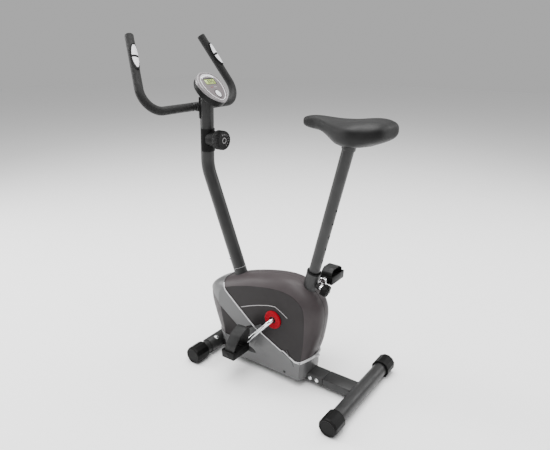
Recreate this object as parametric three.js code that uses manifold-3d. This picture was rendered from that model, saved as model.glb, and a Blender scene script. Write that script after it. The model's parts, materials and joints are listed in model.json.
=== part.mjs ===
// Upright exercise bike with a belt-driven flywheel, in millimetres.
// +Z is up, -X is the front (handlebar end), -Y is the rider's left. The floor is z = 0.
import * as THREE from 'three';
import { mergeVertices } from 'three/addons/utils/BufferGeometryUtils.js';
import { ConvexGeometry } from 'three/addons/geometries/ConvexGeometry.js';
import Module from 'manifold-3d';

const wasm = await Module();
wasm.setup();

// ---------------------------------------------------------------- driving dimensions
const ORIGIN_SHIFT = 88;       // moves the middle of the bike's length to x = 0
const GAP = 0.3;               // clearance between touching pieces

const FOOT_X = 305;            // front and rear cross tubes lie at -FOOT_X and +FOOT_X
const FOOT_Z = 32;             // height of their axes
const FOOT_R = 25;
const CAP_R = FOOT_Z / Math.cos(Math.PI / 12);   // twelve-sided end caps stand on a flat
const CAP_LENGTH = 60;
const FRONT_HALF = 176;        // half widths over the caps
const REAR_HALF = 219;

const RAIL = { front: -285, rear: 176, half: 30, low: 17, high: 47, wall: 2 };

const POST_R = 24;             // handlebar post and frame tubes
const POST_WALL = 1.7;
const STUB_FOOT = [-90, 45];   // where the front frame tube meets the rail (x, z)
const STUB_TOP = [-210, 361];  // seam between frame stub and handlebar post
const POST_BEND = [-348, 724];
const POST_TOP = [-339, 985];

const SEAT_LEAN = 14;          // degrees from vertical
const SEAT_FOOT_X = 6.1;       // where the seat tube's axis meets the floor
const SEAT_POST_R = 19.05;
const SLEEVE_TOP = 438;        // along the seat tube's axis
const PIN_AT = 397;            // height of the pull pin along the same axis
const HOLE_PITCH = 47;

const CRANK = [-10, 235];      // crank axle (x, z)
const CRANK_DROP = [111, 122]; // from axle to pedal spindle
const CRANK_R = 7.5;
const ARM_Y = 84;
const PEDAL = { inner: 97, outer: 185, half: 28, thick: 26 };

const WHEEL = [-122, 130];     // flywheel axle (x, z)
const WHEEL_R = 90;
const SHOE_PIN = [-226, 88];   // pivot of the brake shoe (x, z)
const PULLEY_R = 104.7;
const SMALL_PULLEY_R = 17.7;
const BELT_Y = [36, 46];

const CASE_HALF = 64;
const SHELL = 2.5;

const BAR = { x: -387, z: 935, half: 245, endX: -515, endHalf: 169, endZ: 1172, bend: 65 };
const BAR_R = 12.7;
const FOAM_R = 14.8;

const CONSOLE = { x: -306, z: 1005, lean: 46, depth: 36 };
const DIAL = { z: 826, rear: -264, r: 34 };

// ---------------------------------------------------------------- materials
const paint = (color, roughness, metalness = 0) =>
  new THREE.MeshStandardMaterial({ color, roughness, metalness });
const look = {
  steel: () => paint(0x2a2b2d, 0.42, 0.3),
  foam: () => paint(0x1b1b1d, 0.9),
  plastic: () => paint(0x1a1a1b, 0.5),
  casing: () => paint(0x453f40, 0.45),
  silver: () => paint(0x858587, 0.4, 0.2),
  red: () => paint(0xb01020, 0.35),
  chrome: () => paint(0xd5d7da, 0.12, 1),
  iron: () => paint(0x55575a, 0.5, 0.9),
  vinyl: () => paint(0x202022, 0.5),
  grey: () => paint(0x6f6a6c, 0.5),
  lcd: () => paint(0xb9c98a, 0.2),
  white: () => paint(0xc9c9cc, 0.4),
  rubber: () => paint(0x151516, 0.85),
};

// ---------------------------------------------------------------- joining and cutting
const V = (x, y, z) => new THREE.Vector3(x, y, z);
const UP = V(0, 0, 1);
const DEG = Math.PI / 180;

function toSolid(geometry) {
  const bare = geometry.clone();
  bare.deleteAttribute('normal');
  bare.deleteAttribute('uv');
  const merged = mergeVertices(bare, 1e-4);
  return new wasm.Manifold(new wasm.Mesh({
    numProp: 3,
    vertProperties: new Float32Array(merged.attributes.position.array),
    triVerts: new Uint32Array(merged.index.array),
  }));
}

function toGeometry(solid) {
  const mesh = solid.getMesh();
  const geometry = new THREE.BufferGeometry();
  geometry.setAttribute('position', new THREE.BufferAttribute(new Float32Array(mesh.vertProperties), 3));
  geometry.setIndex(new THREE.BufferAttribute(new Uint32Array(mesh.triVerts), 1));
  return geometry;
}

const join = (...pieces) => toGeometry(pieces.map(toSolid).reduce((all, next) => all.add(next)));
const cut = (piece, ...tools) =>
  toGeometry(tools.map(toSolid).reduce((rest, tool) => rest.subtract(tool), toSolid(piece)));
const common = (a, b) => toGeometry(toSolid(a).intersect(toSolid(b)));

// ---------------------------------------------------------------- simple shapes
const box = (x0, x1, y0, y1, z0, z1) =>
  new THREE.BoxGeometry(x1 - x0, y1 - y0, z1 - z0)
    .translate((x0 + x1) / 2, (y0 + y1) / 2, (z0 + z1) / 2);

// A round bar from point a to point b; endRadius makes it a cone.
function rod(a, b, radius, sides = 18, endRadius = radius) {
  const length = a.distanceTo(b);
  const turn = new THREE.Quaternion().setFromUnitVectors(V(0, 1, 0), b.clone().sub(a).normalize());
  return new THREE.CylinderGeometry(endRadius, radius, length, sides)
    .translate(0, length / 2, 0).applyQuaternion(turn).translate(a.x, a.y, a.z);
}

// The same bar with a bore that runs out past both ends.
function pipe(a, b, radius, bore, sides = 18) {
  const along = b.clone().sub(a).normalize();
  return cut(rod(a, b, radius, sides), rod(a.clone().sub(along), b.clone().add(along), bore, sides));
}

// A bar along Y, the direction of every axle.
const axle = (x, z, y0, y1, radius, sides = 18) => rod(V(x, y0, z), V(x, y1, z), radius, sides);
const axleRing = (x, z, y0, y1, radius, bore, sides = 24) =>
  pipe(V(x, y0, z), V(x, y1, z), radius, bore, sides);

const circle = (radius, sides) => new THREE.Shape([...Array(sides).keys()].map((i) =>
  new THREE.Vector2(Math.cos((i / sides) * 2 * Math.PI), Math.sin((i / sides) * 2 * Math.PI))
    .multiplyScalar(radius)));

// A dome-headed bolt along a direction: head, shank.
function domeBolt(at, out, headR, shankR, shankLength) {
  const dome = new THREE.SphereGeometry(headR, 10, 6).scale(1, 1, 0.7);
  dome.applyQuaternion(new THREE.Quaternion().setFromUnitVectors(UP, out)).translate(at.x, at.y, at.z);
  const far = at.clone().addScaledVector(out, headR);
  const half = common(dome, rod(at, far, headR * 1.5, 12));
  return join(half, rod(at.clone().addScaledVector(out, 1), at.clone().addScaledVector(out, -shankLength),
    shankR, 12));
}

// ---------------------------------------------------------------- bent tubes
// A route through given points, sampled exactly at them.
class Route extends THREE.Curve {
  constructor(points) { super(); this.points = points; }
  getPoint(t, target = new THREE.Vector3()) {
    const last = this.points.length - 1;
    const place = Math.min(Math.max(t, 0), 1) * last;
    const i = Math.min(Math.floor(place + 1e-9), last - 1);
    return target.lerpVectors(this.points[i], this.points[i + 1], place - i);
  }
  getPointAt(u, target) { return this.getPoint(u, target); }
  getTangentAt(u, target = new THREE.Vector3()) {
    const last = this.points.length - 1;
    const i = Math.round(u * last);
    target.set(0, 0, 0);
    if (i > 0) target.add(this.points[i].clone().sub(this.points[i - 1]).normalize());
    if (i < last) target.add(this.points[i + 1].clone().sub(this.points[i]).normalize());
    return target.normalize();
  }
}

// Straight stretches between corners, each corner turned with one bend radius.
function rounded(corners, radius, stepDegrees = 14) {
  const points = [corners[0]];
  for (let i = 1; i < corners.length - 1; i++) {
    const before = corners[i].clone().sub(corners[i - 1]).normalize();
    const after = corners[i + 1].clone().sub(corners[i]).normalize();
    const turn = before.angleTo(after);
    const inset = radius * Math.tan(turn / 2);
    const start = corners[i].clone().addScaledVector(before, -inset);
    const inward = after.clone().addScaledVector(before, -after.dot(before)).normalize();
    const centre = start.clone().addScaledVector(inward, radius);
    const steps = Math.max(2, Math.ceil(turn / DEG / stepDegrees));
    for (let k = 0; k <= steps; k++) {
      const angle = (turn * k) / steps;
      points.push(centre.clone().addScaledVector(inward, -radius * Math.cos(angle))
        .addScaledVector(before, radius * Math.sin(angle)));
    }
  }
  points.push(corners[corners.length - 1]);
  return points;
}

const sweep = (points, section) =>
  new THREE.ExtrudeGeometry(section, { steps: points.length - 1, extrudePath: new Route(points) });

const bentBar = (points, radius, sides = 14) => sweep(points, circle(radius, sides));

function bentPipe(points, radius, bore, sides = 16) {
  const section = circle(radius, sides);
  section.holes.push(circle(bore, sides));
  return sweep(points, section);
}

// A flat outline in X and Z, made solid between two Y values.
function slab(outline, y0, y1) {
  const shape = new THREE.Shape(outline.map(([x, z]) => new THREE.Vector2(x, z)));
  return new THREE.ExtrudeGeometry(shape, { depth: y1 - y0, bevelEnabled: false })
    .rotateX(Math.PI / 2).translate(0, y1, 0);
}

// ---------------------------------------------------------------- scene graph helpers
const bike = new THREE.Group();
bike.position.x = ORIGIN_SHIFT;

function part(name, geometry, material, parent = bike) {
  const mesh = new THREE.Mesh(geometry, material);
  mesh.name = name;
  parent.add(mesh);
  return mesh;
}

const SIDES = [['left', -1], ['right', 1]];

// ---------------------------------------------------------------- frame lines
const stubFoot = V(STUB_FOOT[0], 0, STUB_FOOT[1]);
const stubTop = V(STUB_TOP[0], 0, STUB_TOP[1]);
const stubAxis = stubTop.clone().sub(stubFoot).normalize();
const seatAxis = V(Math.sin(SEAT_LEAN * DEG), 0, Math.cos(SEAT_LEAN * DEG));
const onSeatAxis = (along) => V(SEAT_FOOT_X, 0, 0).addScaledVector(seatAxis, along);

const frontTube = (radius, sides = 18) =>
  rod(stubFoot.clone().addScaledVector(stubAxis, -5), stubTop, radius, sides);
const seatTube = (radius, from = 30, to = SLEEVE_TOP) => rod(onSeatAxis(from), onSeatAxis(to), radius, 18);

// The seat post, its clamp and the pull pin share a frame that leans with the seat tube:
// local Z runs up the tube and local X points out to the rear.
const seatLine = new THREE.Group();
seatLine.position.set(SEAT_FOOT_X, 0, 0);
seatLine.rotation.y = SEAT_LEAN * DEG;
bike.add(seatLine);

// ---------------------------------------------------------------- main frame
function mainFrame() {
  const { front, rear, half, low, high, wall } = RAIL;
  const rail = cut(box(front, rear, -half, half, low, high),
    box(front + 12, rear + 1, -half + wall, half - wall, low + wall, high - wall));
  // A welded half sleeve holds the front cross tube.
  const sleeve = axleRing(-FOOT_X, FOOT_Z, -92, 92, FOOT_R + 3.5, FOOT_R + 0.6, 24);
  const openFront = box(-FOOT_X - 40, -FOOT_X - 8, -100, 100, -10, FOOT_Z + 12);
  // Front tube with a thinner spigot inside the handlebar post.
  const spigotTop = stubTop.clone().addScaledVector(stubAxis, 95);
  const front1 = join(frontTube(POST_R), rod(stubTop.clone().addScaledVector(stubAxis, -1), spigotTop,
    POST_R - POST_WALL - 0.5));
  const frontBore = rod(stubFoot.clone().addScaledVector(stubAxis, 14),
    spigotTop.clone().addScaledVector(stubAxis, 2), POST_R - 4);
  const seat = cut(seatTube(POST_R), seatTube(21, 55, SLEEVE_TOP + 2));
  const brace = box(-160, 52, -14, 14, CRANK[1] - 15, CRANK[1] + 15);
  const clearTubes = [frontBore, seatTube(21, 55, SLEEVE_TOP + 2)];
  const pinNut = rod(onSeatAxis(PIN_AT).add(sideways(22.5)), onSeatAxis(PIN_AT).add(sideways(36)), 9, 12);
  const pinHole = rod(onSeatAxis(PIN_AT), onSeatAxis(PIN_AT).add(sideways(40)), 5.4, 12);
  const [pinX, pinZ] = SHOE_PIN;
  const lug = join(box(pinX - 6, pinX + 6, -44, -28, 37.5, 46), box(pinX - 6, pinX + 6, -44, -40, 37.5, pinZ + 8),
    axle(pinX, pinZ, -57, -40, 5, 12));
  const wheelBoss = axle(...WHEEL, -28, 32, 16);
  let frame = join(rail, sleeve, front1, seat, brace);
  frame = cut(frame, openFront, ...clearTubes, axle(-FOOT_X, FOOT_Z, -30, 30, FOOT_R + 0.6, 24));
  frame = join(frame, axle(...CRANK, -34, 34, 22, 24), wheelBoss, lug, pinNut);
  const cableExit = rod(V(-168, 0, 250), V(-163, -40, 240), 5, 10);
  frame = cut(frame, axle(...CRANK, -40, 40, 18, 24), axle(...WHEEL, -40, 40, 8.6), pinHole, cableExit,
    ...footBolts().map(({ at, out }) => rod(at.clone().addScaledVector(out, -12), at.clone()
      .addScaledVector(out, 5), 4.4, 12)),
    ...railBolts().map(([x, z]) => axle(x, z, -40, 40, 4.4, 12)),
    postBoltHole());
  return frame;
}

// A step out to the rear, square to the seat tube.
function sideways(distance) {
  return V(Math.cos(SEAT_LEAN * DEG), 0, -Math.sin(SEAT_LEAN * DEG)).multiplyScalar(distance);
}

// Dome nuts on the rear upper face of the front sleeve.
function footBolts() {
  const out = V(Math.cos(62 * DEG), 0, Math.sin(62 * DEG));
  return [-1, 1].map((side) => ({
    at: V(-FOOT_X, side * 54, FOOT_Z).addScaledVector(out, FOOT_R + 3.5 + GAP), out,
  }));
}

// Two bolts through the end of the rail hold the rear foot's spigot (x, z).
function railBolts() { return [[126, 31], [153, 31]]; }

// The bolt through the handlebar post into the frame's spigot, at its front left.
function postBolt() {
  const across = V(stubAxis.z, 0, -stubAxis.x);
  const out = across.clone().multiplyScalar(-0.75).add(V(0, -0.66, 0)).normalize();
  return { at: stubTop.clone().addScaledVector(stubAxis, 42).addScaledVector(out, POST_R + GAP), out };
}
function postBoltHole() {
  const { at, out } = postBolt();
  return rod(at.clone().addScaledVector(out, -12), at, 3.4, 12);
}

// ---------------------------------------------------------------- feet
function crossTube(x, half, extra = []) {
  return axleRing(x, FOOT_Z, -half, half, FOOT_R, FOOT_R - 2, 24);
}

function frontFoot() {
  return cut(crossTube(-FOOT_X, FRONT_HALF - 5), ...footBolts().map(({ at, out }) =>
    rod(at.clone().addScaledVector(out, -12), at, 4.4, 12)));
}

function rearFoot() {
  const { rear, half, low, high, wall } = RAIL;
  const stem = box(rear + GAP, FOOT_X - 15, -half, half, low, high);
  const spigot = box(105, rear + 20, -half + wall + 0.5, half - wall - 0.5, low + wall + 0.5, high - wall - 0.5);
  const hollow = box(100, FOOT_X - 40, -half + 5, half - 5, low + 5, high - 5);
  const welded = cut(join(stem, spigot), hollow, axle(FOOT_X, FOOT_Z, -50, 50, FOOT_R - 1, 24));
  return cut(join(welded, crossTube(FOOT_X, REAR_HALF - 5)),
    ...railBolts().map(([x, z]) => axle(x, z, -40, 40, 4.4, 12)));
}

function endCap(x, side, half) {
  const outside = axle(x, FOOT_Z, side * (half - CAP_LENGTH), side * half, CAP_R, 12);
  outside.translate(-x, 0, -FOOT_Z).rotateY(15 * DEG).translate(x, 0, FOOT_Z);
  return cut(outside, axle(x, FOOT_Z, side * (half - CAP_LENGTH - 5), side * (half - 4.5), FOOT_R + GAP, 24));
}

part('main_frame', mainFrame(), look.steel());
part('front_foot_tube', frontFoot(), look.steel());
part('rear_foot_tube', rearFoot(), look.steel());
for (const [name, side] of SIDES) {
  part(`front_cap_${name}`, endCap(-FOOT_X, side, FRONT_HALF), look.plastic());
  part(`rear_cap_${name}`, endCap(FOOT_X, side, REAR_HALF), look.plastic());
}
footBolts().forEach(({ at, out }, i) =>
  part(`front_nut_${SIDES[i][0]}`, domeBolt(at, out, 9, 4, 7), look.chrome()));
railBolts().forEach(([x, z], i) => {
  const y = RAIL.half + GAP;
  const head = domeBolt(V(x, -y, z), V(0, -1, 0), 7, 4, 10);
  const tail = domeBolt(V(x, y, z), V(0, 1, 0), 7, 4, 10);
  part(`rail_bolt_${i + 1}`, join(head, tail, axle(x, z, -y, y, 4, 12)), look.chrome());
});

// ---------------------------------------------------------------- casing
// Side outlines, front bottom over the top to rear bottom: the seam in the middle plane, and
// the edge of the flat side panel. Both are splines with the same number of points (x, z).
const SEAM_LINE = [[-258, 33], [-290, 112], [-328, 228], [-306, 290], [-187, 345], [-46, 383], [56, 387],
  [128, 349], [160, 285], [146, 176], [119, 92], [112, 33]];
const PANEL_LINE = [[-212, 33], [-234, 108], [-256, 230], [-243, 284], [-171, 318], [-41, 348], [48, 350],
  [98, 325], [114, 282], [113, 176], [102, 90], [99, 33]];
// Crown of the shell: distance from the middle plane, and how far towards the seam outline.
const CROWN = [[0, 1], [30, 0.9], [52, 0.5], [CASE_HALF, 0]];
const CASE_MIDDLE = new THREE.Vector2(-70, 195);

function casingBody(grow) {
  const seam = new THREE.SplineCurve(SEAM_LINE.map(([x, z]) => new THREE.Vector2(x, z))).getPoints(20);
  const panel = new THREE.SplineCurve(PANEL_LINE.map(([x, z]) => new THREE.Vector2(x, z))).getPoints(20);
  const points = [];
  for (const [y, towardSeam] of CROWN) {
    const out = y === CASE_HALF ? y + grow : y;
    seam.forEach((onSeam, i) => {
      const p = panel[i].clone().lerp(onSeam, towardSeam);
      const away = p.clone().sub(CASE_MIDDLE);
      p.addScaledVector(away, grow / away.length());
      points.push(V(p.x, out, p.y), V(p.x, -out, p.y));
    });
  }
  return new ConvexGeometry(points);
}

const casingOpenings = () => [
  box(-360, 220, -RAIL.half - 0.8, RAIL.half + 0.8, 0, RAIL.high + 0.8),
  rod(stubFoot, stubTop, POST_R + 0.8), seatTube(POST_R + 0.8, 60, SLEEVE_TOP),
  axle(...CRANK, -90, 90, 14),
  rod(onSeatAxis(PIN_AT), onSeatAxis(PIN_AT).add(sideways(60)), 10, 12),
];
const halfSpace = (side) => (side < 0 ? box(-400, 300, -120, -GAP / 2, -20, 450)
  : box(-400, 300, GAP / 2, 120, -20, 450));

// The silver cover: a diagonal band from the front top to the rear bottom and the whole base.
const COVER_LINE = [[-345, 283], [-290, 243], [-85, 101], [-350, 101], [-350, 0], [190, 0], [190, 118],
  [121, 108], [82, 96], [25, 122], [-94, 178], [-164, 234], [-222, 282], [-243, 308], [-262, 350], [-345, 350]];

const shellOutside = casingBody(0);
const shellInside = casingBody(-SHELL);
const coverInside = casingBody(0.7);
const coverOutside = casingBody(3.2);
for (const [name, side] of SIDES) {
  const shell = cut(common(shellOutside, halfSpace(side)), shellInside, ...casingOpenings());
  part(`casing_${name}`, shell, look.casing());
  const band = common(common(coverOutside, halfSpace(side)), slab(COVER_LINE, -120, 120));
  part(`silver_cover_${name}`, cut(band, coverInside, ...casingOpenings()), look.silver());
  const disc = axleRing(...CRANK, side * (CASE_HALF + 0.5), side * (CASE_HALF + 6), 33.5, 13, 28);
  part(`crank_disc_${name}`, disc, look.red());
}

// ---------------------------------------------------------------- crank and pedals
const [crankX, crankZ] = CRANK;
const [dropX, dropZ] = CRANK_DROP;

// One bent bar: arm, axle, opposite arm, with a flat eye at each end.
function crankBar() {
  const corners = [V(crankX - dropX, -ARM_Y, crankZ - dropZ), V(crankX, -ARM_Y, crankZ),
    V(crankX, ARM_Y, crankZ), V(crankX + dropX, ARM_Y, crankZ + dropZ)];
  const bar = bentBar(rounded(corners, 20, 18), CRANK_R, 16);
  const eyes = [-1, 1].map((side) =>
    axle(crankX + side * dropX, crankZ + side * dropZ, side * (ARM_Y - 7.5), side * (ARM_Y + 7.5), 14, 18));
  const bores = [-1, 1].map((side) =>
    axle(crankX + side * dropX, crankZ + side * dropZ, side * (ARM_Y - 20), side * (ARM_Y + 20), 6.8, 14));
  return cut(join(bar, ...eyes), ...bores);
}
part('crank', crankBar(), look.chrome());
part('bottom_bearing', axleRing(...CRANK, -33, 33, 17.7, CRANK_R + 0.6, 20), look.iron());

function drivePulley() {
  const [y0, y1] = BELT_Y;
  const holes = [...Array(5).keys()].map((i) => {
    const angle = (i * 72 + 20) * DEG;
    return axle(crankX + 62 * Math.cos(angle), crankZ + 62 * Math.sin(angle), y0 - 5, y1 + 5, 25, 16);
  });
  return cut(axle(...CRANK, y0, y1, PULLEY_R, 40), axle(...CRANK, 0, 60, CRANK_R + 0.5, 16), ...holes);
}
part('drive_pulley', drivePulley(), look.plastic());

function pedalBody(side) {
  const { inner, outer, half, thick } = PEDAL;
  const x = crankX + side * dropX;
  const z = crankZ + side * dropZ;
  const [y0, y1] = side < 0 ? [-outer, -inner] : [inner, outer];
  const block = box(x - half, x + half, y0, y1, z - thick / 2 - 4, z + thick / 2);
  const windows = [-1, 1].map((end) => box(x + end * 17 - 6, x + end * 17 + 6, side * 141 - 30,
    side * 141 + 30, z - 20, z + 20));
  const slots = strapFeet(side).map((y) => box(x - 23, x + 23, y - 2.2, y + 2.2, z + 7, z + 20));
  return cut(block, ...windows, ...slots, axle(x, z, side * 90, side * 178, 6.6, 14));
}

// The two ends of a foot strap stand in slots at these distances out.
function strapFeet(side) { return [side * 104, side * 179]; }

// A strap's line over the pedal: how far out and how high above the spindle.
// The left strap stands open for the foot; the right one has sunk down.
const STRAP_LINE = {
  left: [[179, 7.5], [177, 38], [158, 72], [128, 93], [106, 88], [103, 60], [104, 7.5]],
  right: [[179, 7.5], [178, 24], [160, 36], [122, 37], [105, 26], [104, 7.5]],
};

function footStrap(side) {
  const x = crankX + side * dropX;
  const z = crankZ + side * dropZ;
  const corners = STRAP_LINE[side < 0 ? 'left' : 'right'].map(([out, up]) => V(x, side * out, z + up));
  const section = (wide, tall) => new THREE.Shape([new THREE.Vector2(-wide, -tall), new THREE.Vector2(wide, -tall),
    new THREE.Vector2(wide, tall), new THREE.Vector2(-wide, tall)]);
  const line = rounded(corners, side < 0 ? 14 : 8, 20);
  const strap = sweep(line, section(1.4, 21.5));
  strap.computeBoundingBox();
  const wide = strap.boundingBox.max.x - strap.boundingBox.min.x;
  const band = wide > 30 ? strap : sweep(line, section(21.5, 1.4));
  // the open strap leans back as it rises
  const lean = side < 0 ? 0.2 : 0;
  return band.applyMatrix4(new THREE.Matrix4().set(1, 0, lean, -lean * (z + 9), 0, 1, 0, 0, 0, 0, 1, 0, 0, 0, 0, 1));
}

for (const [name, side] of SIDES) {
  part(`pedal_${name}`, pedalBody(side), look.plastic());
  part(`pedal_strap_${name}`, footStrap(side), look.rubber());
  part(`pedal_spindle_${name}`, axle(crankX + side * dropX, crankZ + side * dropZ, side * (ARM_Y - 7),
    side * 176, 6.2, 14), look.chrome());
}

// ---------------------------------------------------------------- flywheel, belt, magnets
const [wheelX, wheelZ] = WHEEL;

function flywheel() {
  const recess = axleRing(...WHEEL, -60, -45, 70, 24, 36);
  return cut(axle(...WHEEL, -52, -32, WHEEL_R, 40), recess, axle(...WHEEL, -60, -20, 8.4));
}
part('flywheel', flywheel(), look.iron());
part('flywheel_axle', join(axle(...WHEEL, -56, 50, 8), axle(...WHEEL, ...BELT_Y, SMALL_PULLEY_R, 20)),
  look.iron());

function beltLoop(thickness) {
  const [y0, y1] = BELT_Y;
  const points = [];
  for (const [[x, z], r, sides] of [[CRANK, PULLEY_R, 44], [WHEEL, SMALL_PULLEY_R, 20]]) {
    for (let i = 0; i < sides; i++) {
      const angle = (i / sides) * 2 * Math.PI;
      for (const y of [y0 + 1, y1 - 1]) {
        points.push(V(x + (r + thickness) * Math.cos(angle), y, z + (r + thickness) * Math.sin(angle)));
      }
    }
  }
  return new ConvexGeometry(points);
}
part('drive_belt', cut(beltLoop(3), beltLoop(0.8).scale(1, 1.5, 1).translate(0, -20, 0)), look.rubber());

// The brake shoe: an arm around the front of the rim, hung from a pin, with two magnet blocks.
function arc(from, to, rIn, rOut, y0, y1) {
  const points = [];
  const steps = Math.ceil((to - from) / 9);
  for (const [r, order] of [[rOut, 1], [rIn, -1]]) {
    for (let i = 0; i <= steps; i++) {
      const angle = (order > 0 ? from + ((to - from) * i) / steps : to - ((to - from) * i) / steps) * DEG;
      points.push([wheelX + r * Math.cos(angle), wheelZ + r * Math.sin(angle)]);
    }
  }
  return slab(points, y0, y1);
}
function magnetArm() {
  const arm = arc(112, 196, 108, 112, -52, -32);
  const [pinX, pinZ] = SHOE_PIN;
  const ear = join(arm, axle(pinX, pinZ, -52, -46, 10, 16), box(pinX - 8, pinX + 4, -52, -46, pinZ, pinZ + 20));
  return cut(ear, axle(pinX, pinZ, -70, -30, 5.4, 12));
}
part('magnet_arm', magnetArm(), look.steel());
part('magnet_upper', arc(118, 142, 98, 107.6, -50, -34), look.iron());
part('magnet_lower', arc(150, 174, 98, 107.6, -50, -34), look.iron());

// ---------------------------------------------------------------- handlebar post
const consoleFrame = new THREE.Matrix4().makeRotationY(CONSOLE.lean * DEG).setPosition(CONSOLE.x, 0, CONSOLE.z);
const aboveConsoleBack = (depth) =>
  box(-200, 200, -150, 150, -depth, 200).applyMatrix4(consoleFrame);

function postRoute() {
  const bottom = stubTop.clone().addScaledVector(stubAxis, GAP);
  return rounded([bottom, V(POST_BEND[0], 0, POST_BEND[1]), V(POST_TOP[0], 0, POST_TOP[1])], 150, 8);
}
function handlebarPost() {
  return cut(bentPipe(postRoute(), POST_R, POST_R - POST_WALL, 20), aboveConsoleBack(CONSOLE.depth + 4.5),
    postBoltHole(), rod(V(-345, 0, DIAL.z), V(-300, 0, DIAL.z), 4.5, 12));
}
part('handlebar_post', handlebarPost(), look.steel());
part('post_bolt', domeBolt(postBolt().at, postBolt().out, 6, 3, 6), look.chrome());

function cableRoute() {
  return [V(-316, 0, DIAL.z), V(-330, 0, DIAL.z - 3), V(-344, 0, DIAL.z - 22), V(-347, 0, 730),
    V(-343, 0, 708), V(-210, 0, 360), V(-168, 0, 250), V(-165.5, -20, 245), V(-163.5, -36, 241)];
}
part('tension_cable', bentBar(cableRoute(), 2.2, 8), look.rubber());

// ---------------------------------------------------------------- handlebar, foam, pulse grips
const barCorners = (trim) => {
  const arm = V(BAR.endX - BAR.x, BAR.half - BAR.endHalf, BAR.endZ - BAR.z).normalize();
  return [V(BAR.endX, -BAR.endHalf, BAR.endZ).addScaledVector(arm, -trim), V(BAR.x, -BAR.half, BAR.z),
    V(BAR.x, BAR.half, BAR.z), V(BAR.endX, BAR.endHalf, BAR.endZ)
      .addScaledVector(V(arm.x, -arm.y, arm.z), -trim)];
};
part('handlebar', bentPipe(rounded(barCorners(5), BAR.bend), BAR_R, BAR_R - 1.5, 12), look.steel());

const foamSolid = bentBar(rounded(barCorners(0), BAR.bend), FOAM_R, 14);
const barRoom = bentBar(rounded(barCorners(4.5), BAR.bend), BAR_R + 0.6, 12);
for (const [name, side] of SIDES) {
  const reach = side < 0 ? box(-600, -300, -300, -30, 850, 1250) : box(-600, -300, 30, 300, 850, 1250);
  part(`grip_${name}`, cut(common(foamSolid, reach), barRoom), look.foam());
}

// A curved plate lying on the grip, facing the rider, between two distances below the grip's end.
function gripPlate(side, rIn, rOut, halfAngle, from, to) {
  const down = V(BAR.x - BAR.endX, side * (BAR.half - BAR.endHalf), BAR.z - BAR.endZ).normalize();
  const face = V(1, 0, 0).addScaledVector(down, -down.x).normalize().applyAxisAngle(down, -side * 14 * DEG);
  const shape = new THREE.Shape();
  shape.absarc(0, 0, rOut, -halfAngle * DEG, halfAngle * DEG, false);
  shape.absarc(0, 0, rIn, halfAngle * DEG, -halfAngle * DEG, true);
  const plate = new THREE.ExtrudeGeometry(shape, { depth: to - from, bevelEnabled: false, curveSegments: 4 });
  const end = V(BAR.endX, side * BAR.endHalf, BAR.endZ).addScaledVector(down, from);
  return plate.applyMatrix4(new THREE.Matrix4().makeBasis(face, down.clone().cross(face), down)
    .setPosition(end));
}
for (const [name, side] of SIDES) {
  part(`pulse_housing_${name}`, gripPlate(side, FOAM_R + 0.5, FOAM_R + 2.6, 60, 40, 132), look.plastic());
  part(`pulse_plate_upper_${name}`, gripPlate(side, FOAM_R + 2.95, FOAM_R + 3.8, 36, 46, 82), look.chrome());
  part(`pulse_plate_lower_${name}`, gripPlate(side, FOAM_R + 2.95, FOAM_R + 3.8, 36, 90, 126), look.chrome());
}

// The clamp: a tall half sleeve on the front of the post, with a hood that holds the bar.
function barClamp() {
  const low = V(-342, 0, BAR.z - 38);
  const high = V(-339.5, 0, BAR.z + 34);
  const sleeve = cut(rod(low, high, POST_R + 4.2, 24), box(-352, -300, -40, 40, 880, 985));
  const hood = join(axle(BAR.x, BAR.z, -26, 26, BAR_R + 2.6, 20),
    box(BAR.x, -356, -18, 18, BAR.z - BAR_R - 2.6, BAR.z + BAR_R + 2.6));
  return cut(join(sleeve, hood), rod(V(-342.4, 0, BAR.z - 50), V(-339, 0, BAR.z + 50), POST_R + 0.6, 24),
    axle(BAR.x, BAR.z, -40, 40, BAR_R + GAP, 20));
}
part('bar_clamp', barClamp(), look.steel());

// ---------------------------------------------------------------- console
const consoleGroup = new THREE.Group();
consoleGroup.position.set(CONSOLE.x, 0, CONSOLE.z);
consoleGroup.rotation.y = CONSOLE.lean * DEG;
bike.add(consoleGroup);

// Egg outline of the console, narrow end towards the rider (local x, y), scaled about its middle.
function eggShape(scale) {
  const half = [[-64, 0], [-57, 31], [-31, 53], [2, 57], [35, 46], [57, 24], [66, 0]];
  const around = [...half, ...half.slice(1, -1).reverse().map(([x, y]) => [x, -y])];
  const curve = new THREE.CatmullRomCurve3(around.map(([x, y]) => V(x * scale, y * scale, 0)), true);
  return new THREE.Shape(curve.getSpacedPoints(30).slice(0, -1).map((p) => new THREE.Vector2(p.x, p.y)));
}
const egg = (scale, z0, z1) =>
  new THREE.ExtrudeGeometry(eggShape(scale), { depth: z1 - z0, bevelEnabled: false }).translate(0, 0, z0);

function consoleBack() {
  const bowl = new THREE.ExtrudeGeometry(eggShape(0.84), {
    depth: 4, bevelEnabled: true, bevelThickness: 9, bevelSize: 8, bevelSegments: 3,
  }).translate(0, 0, -CONSOLE.depth + 9);
  const shell = join(common(bowl, box(-100, 100, -100, 100, -CONSOLE.depth, -26)), egg(1, -27, -4));
  return cut(shell, egg(0.8, -CONSOLE.depth + 3, 0));
}
const buttonAt = 30;
const oval = (rx, ry, z0, z1) => new THREE.CylinderGeometry(1, 1, z1 - z0, 24).rotateX(Math.PI / 2)
  .scale(rx, ry, 1).translate(buttonAt, 0, (z0 + z1) / 2);
const lcdBox = (grow, z0, z1) => box(-36 - grow, -12 + grow, -24 - grow, 24 + grow, z0, z1);

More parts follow.
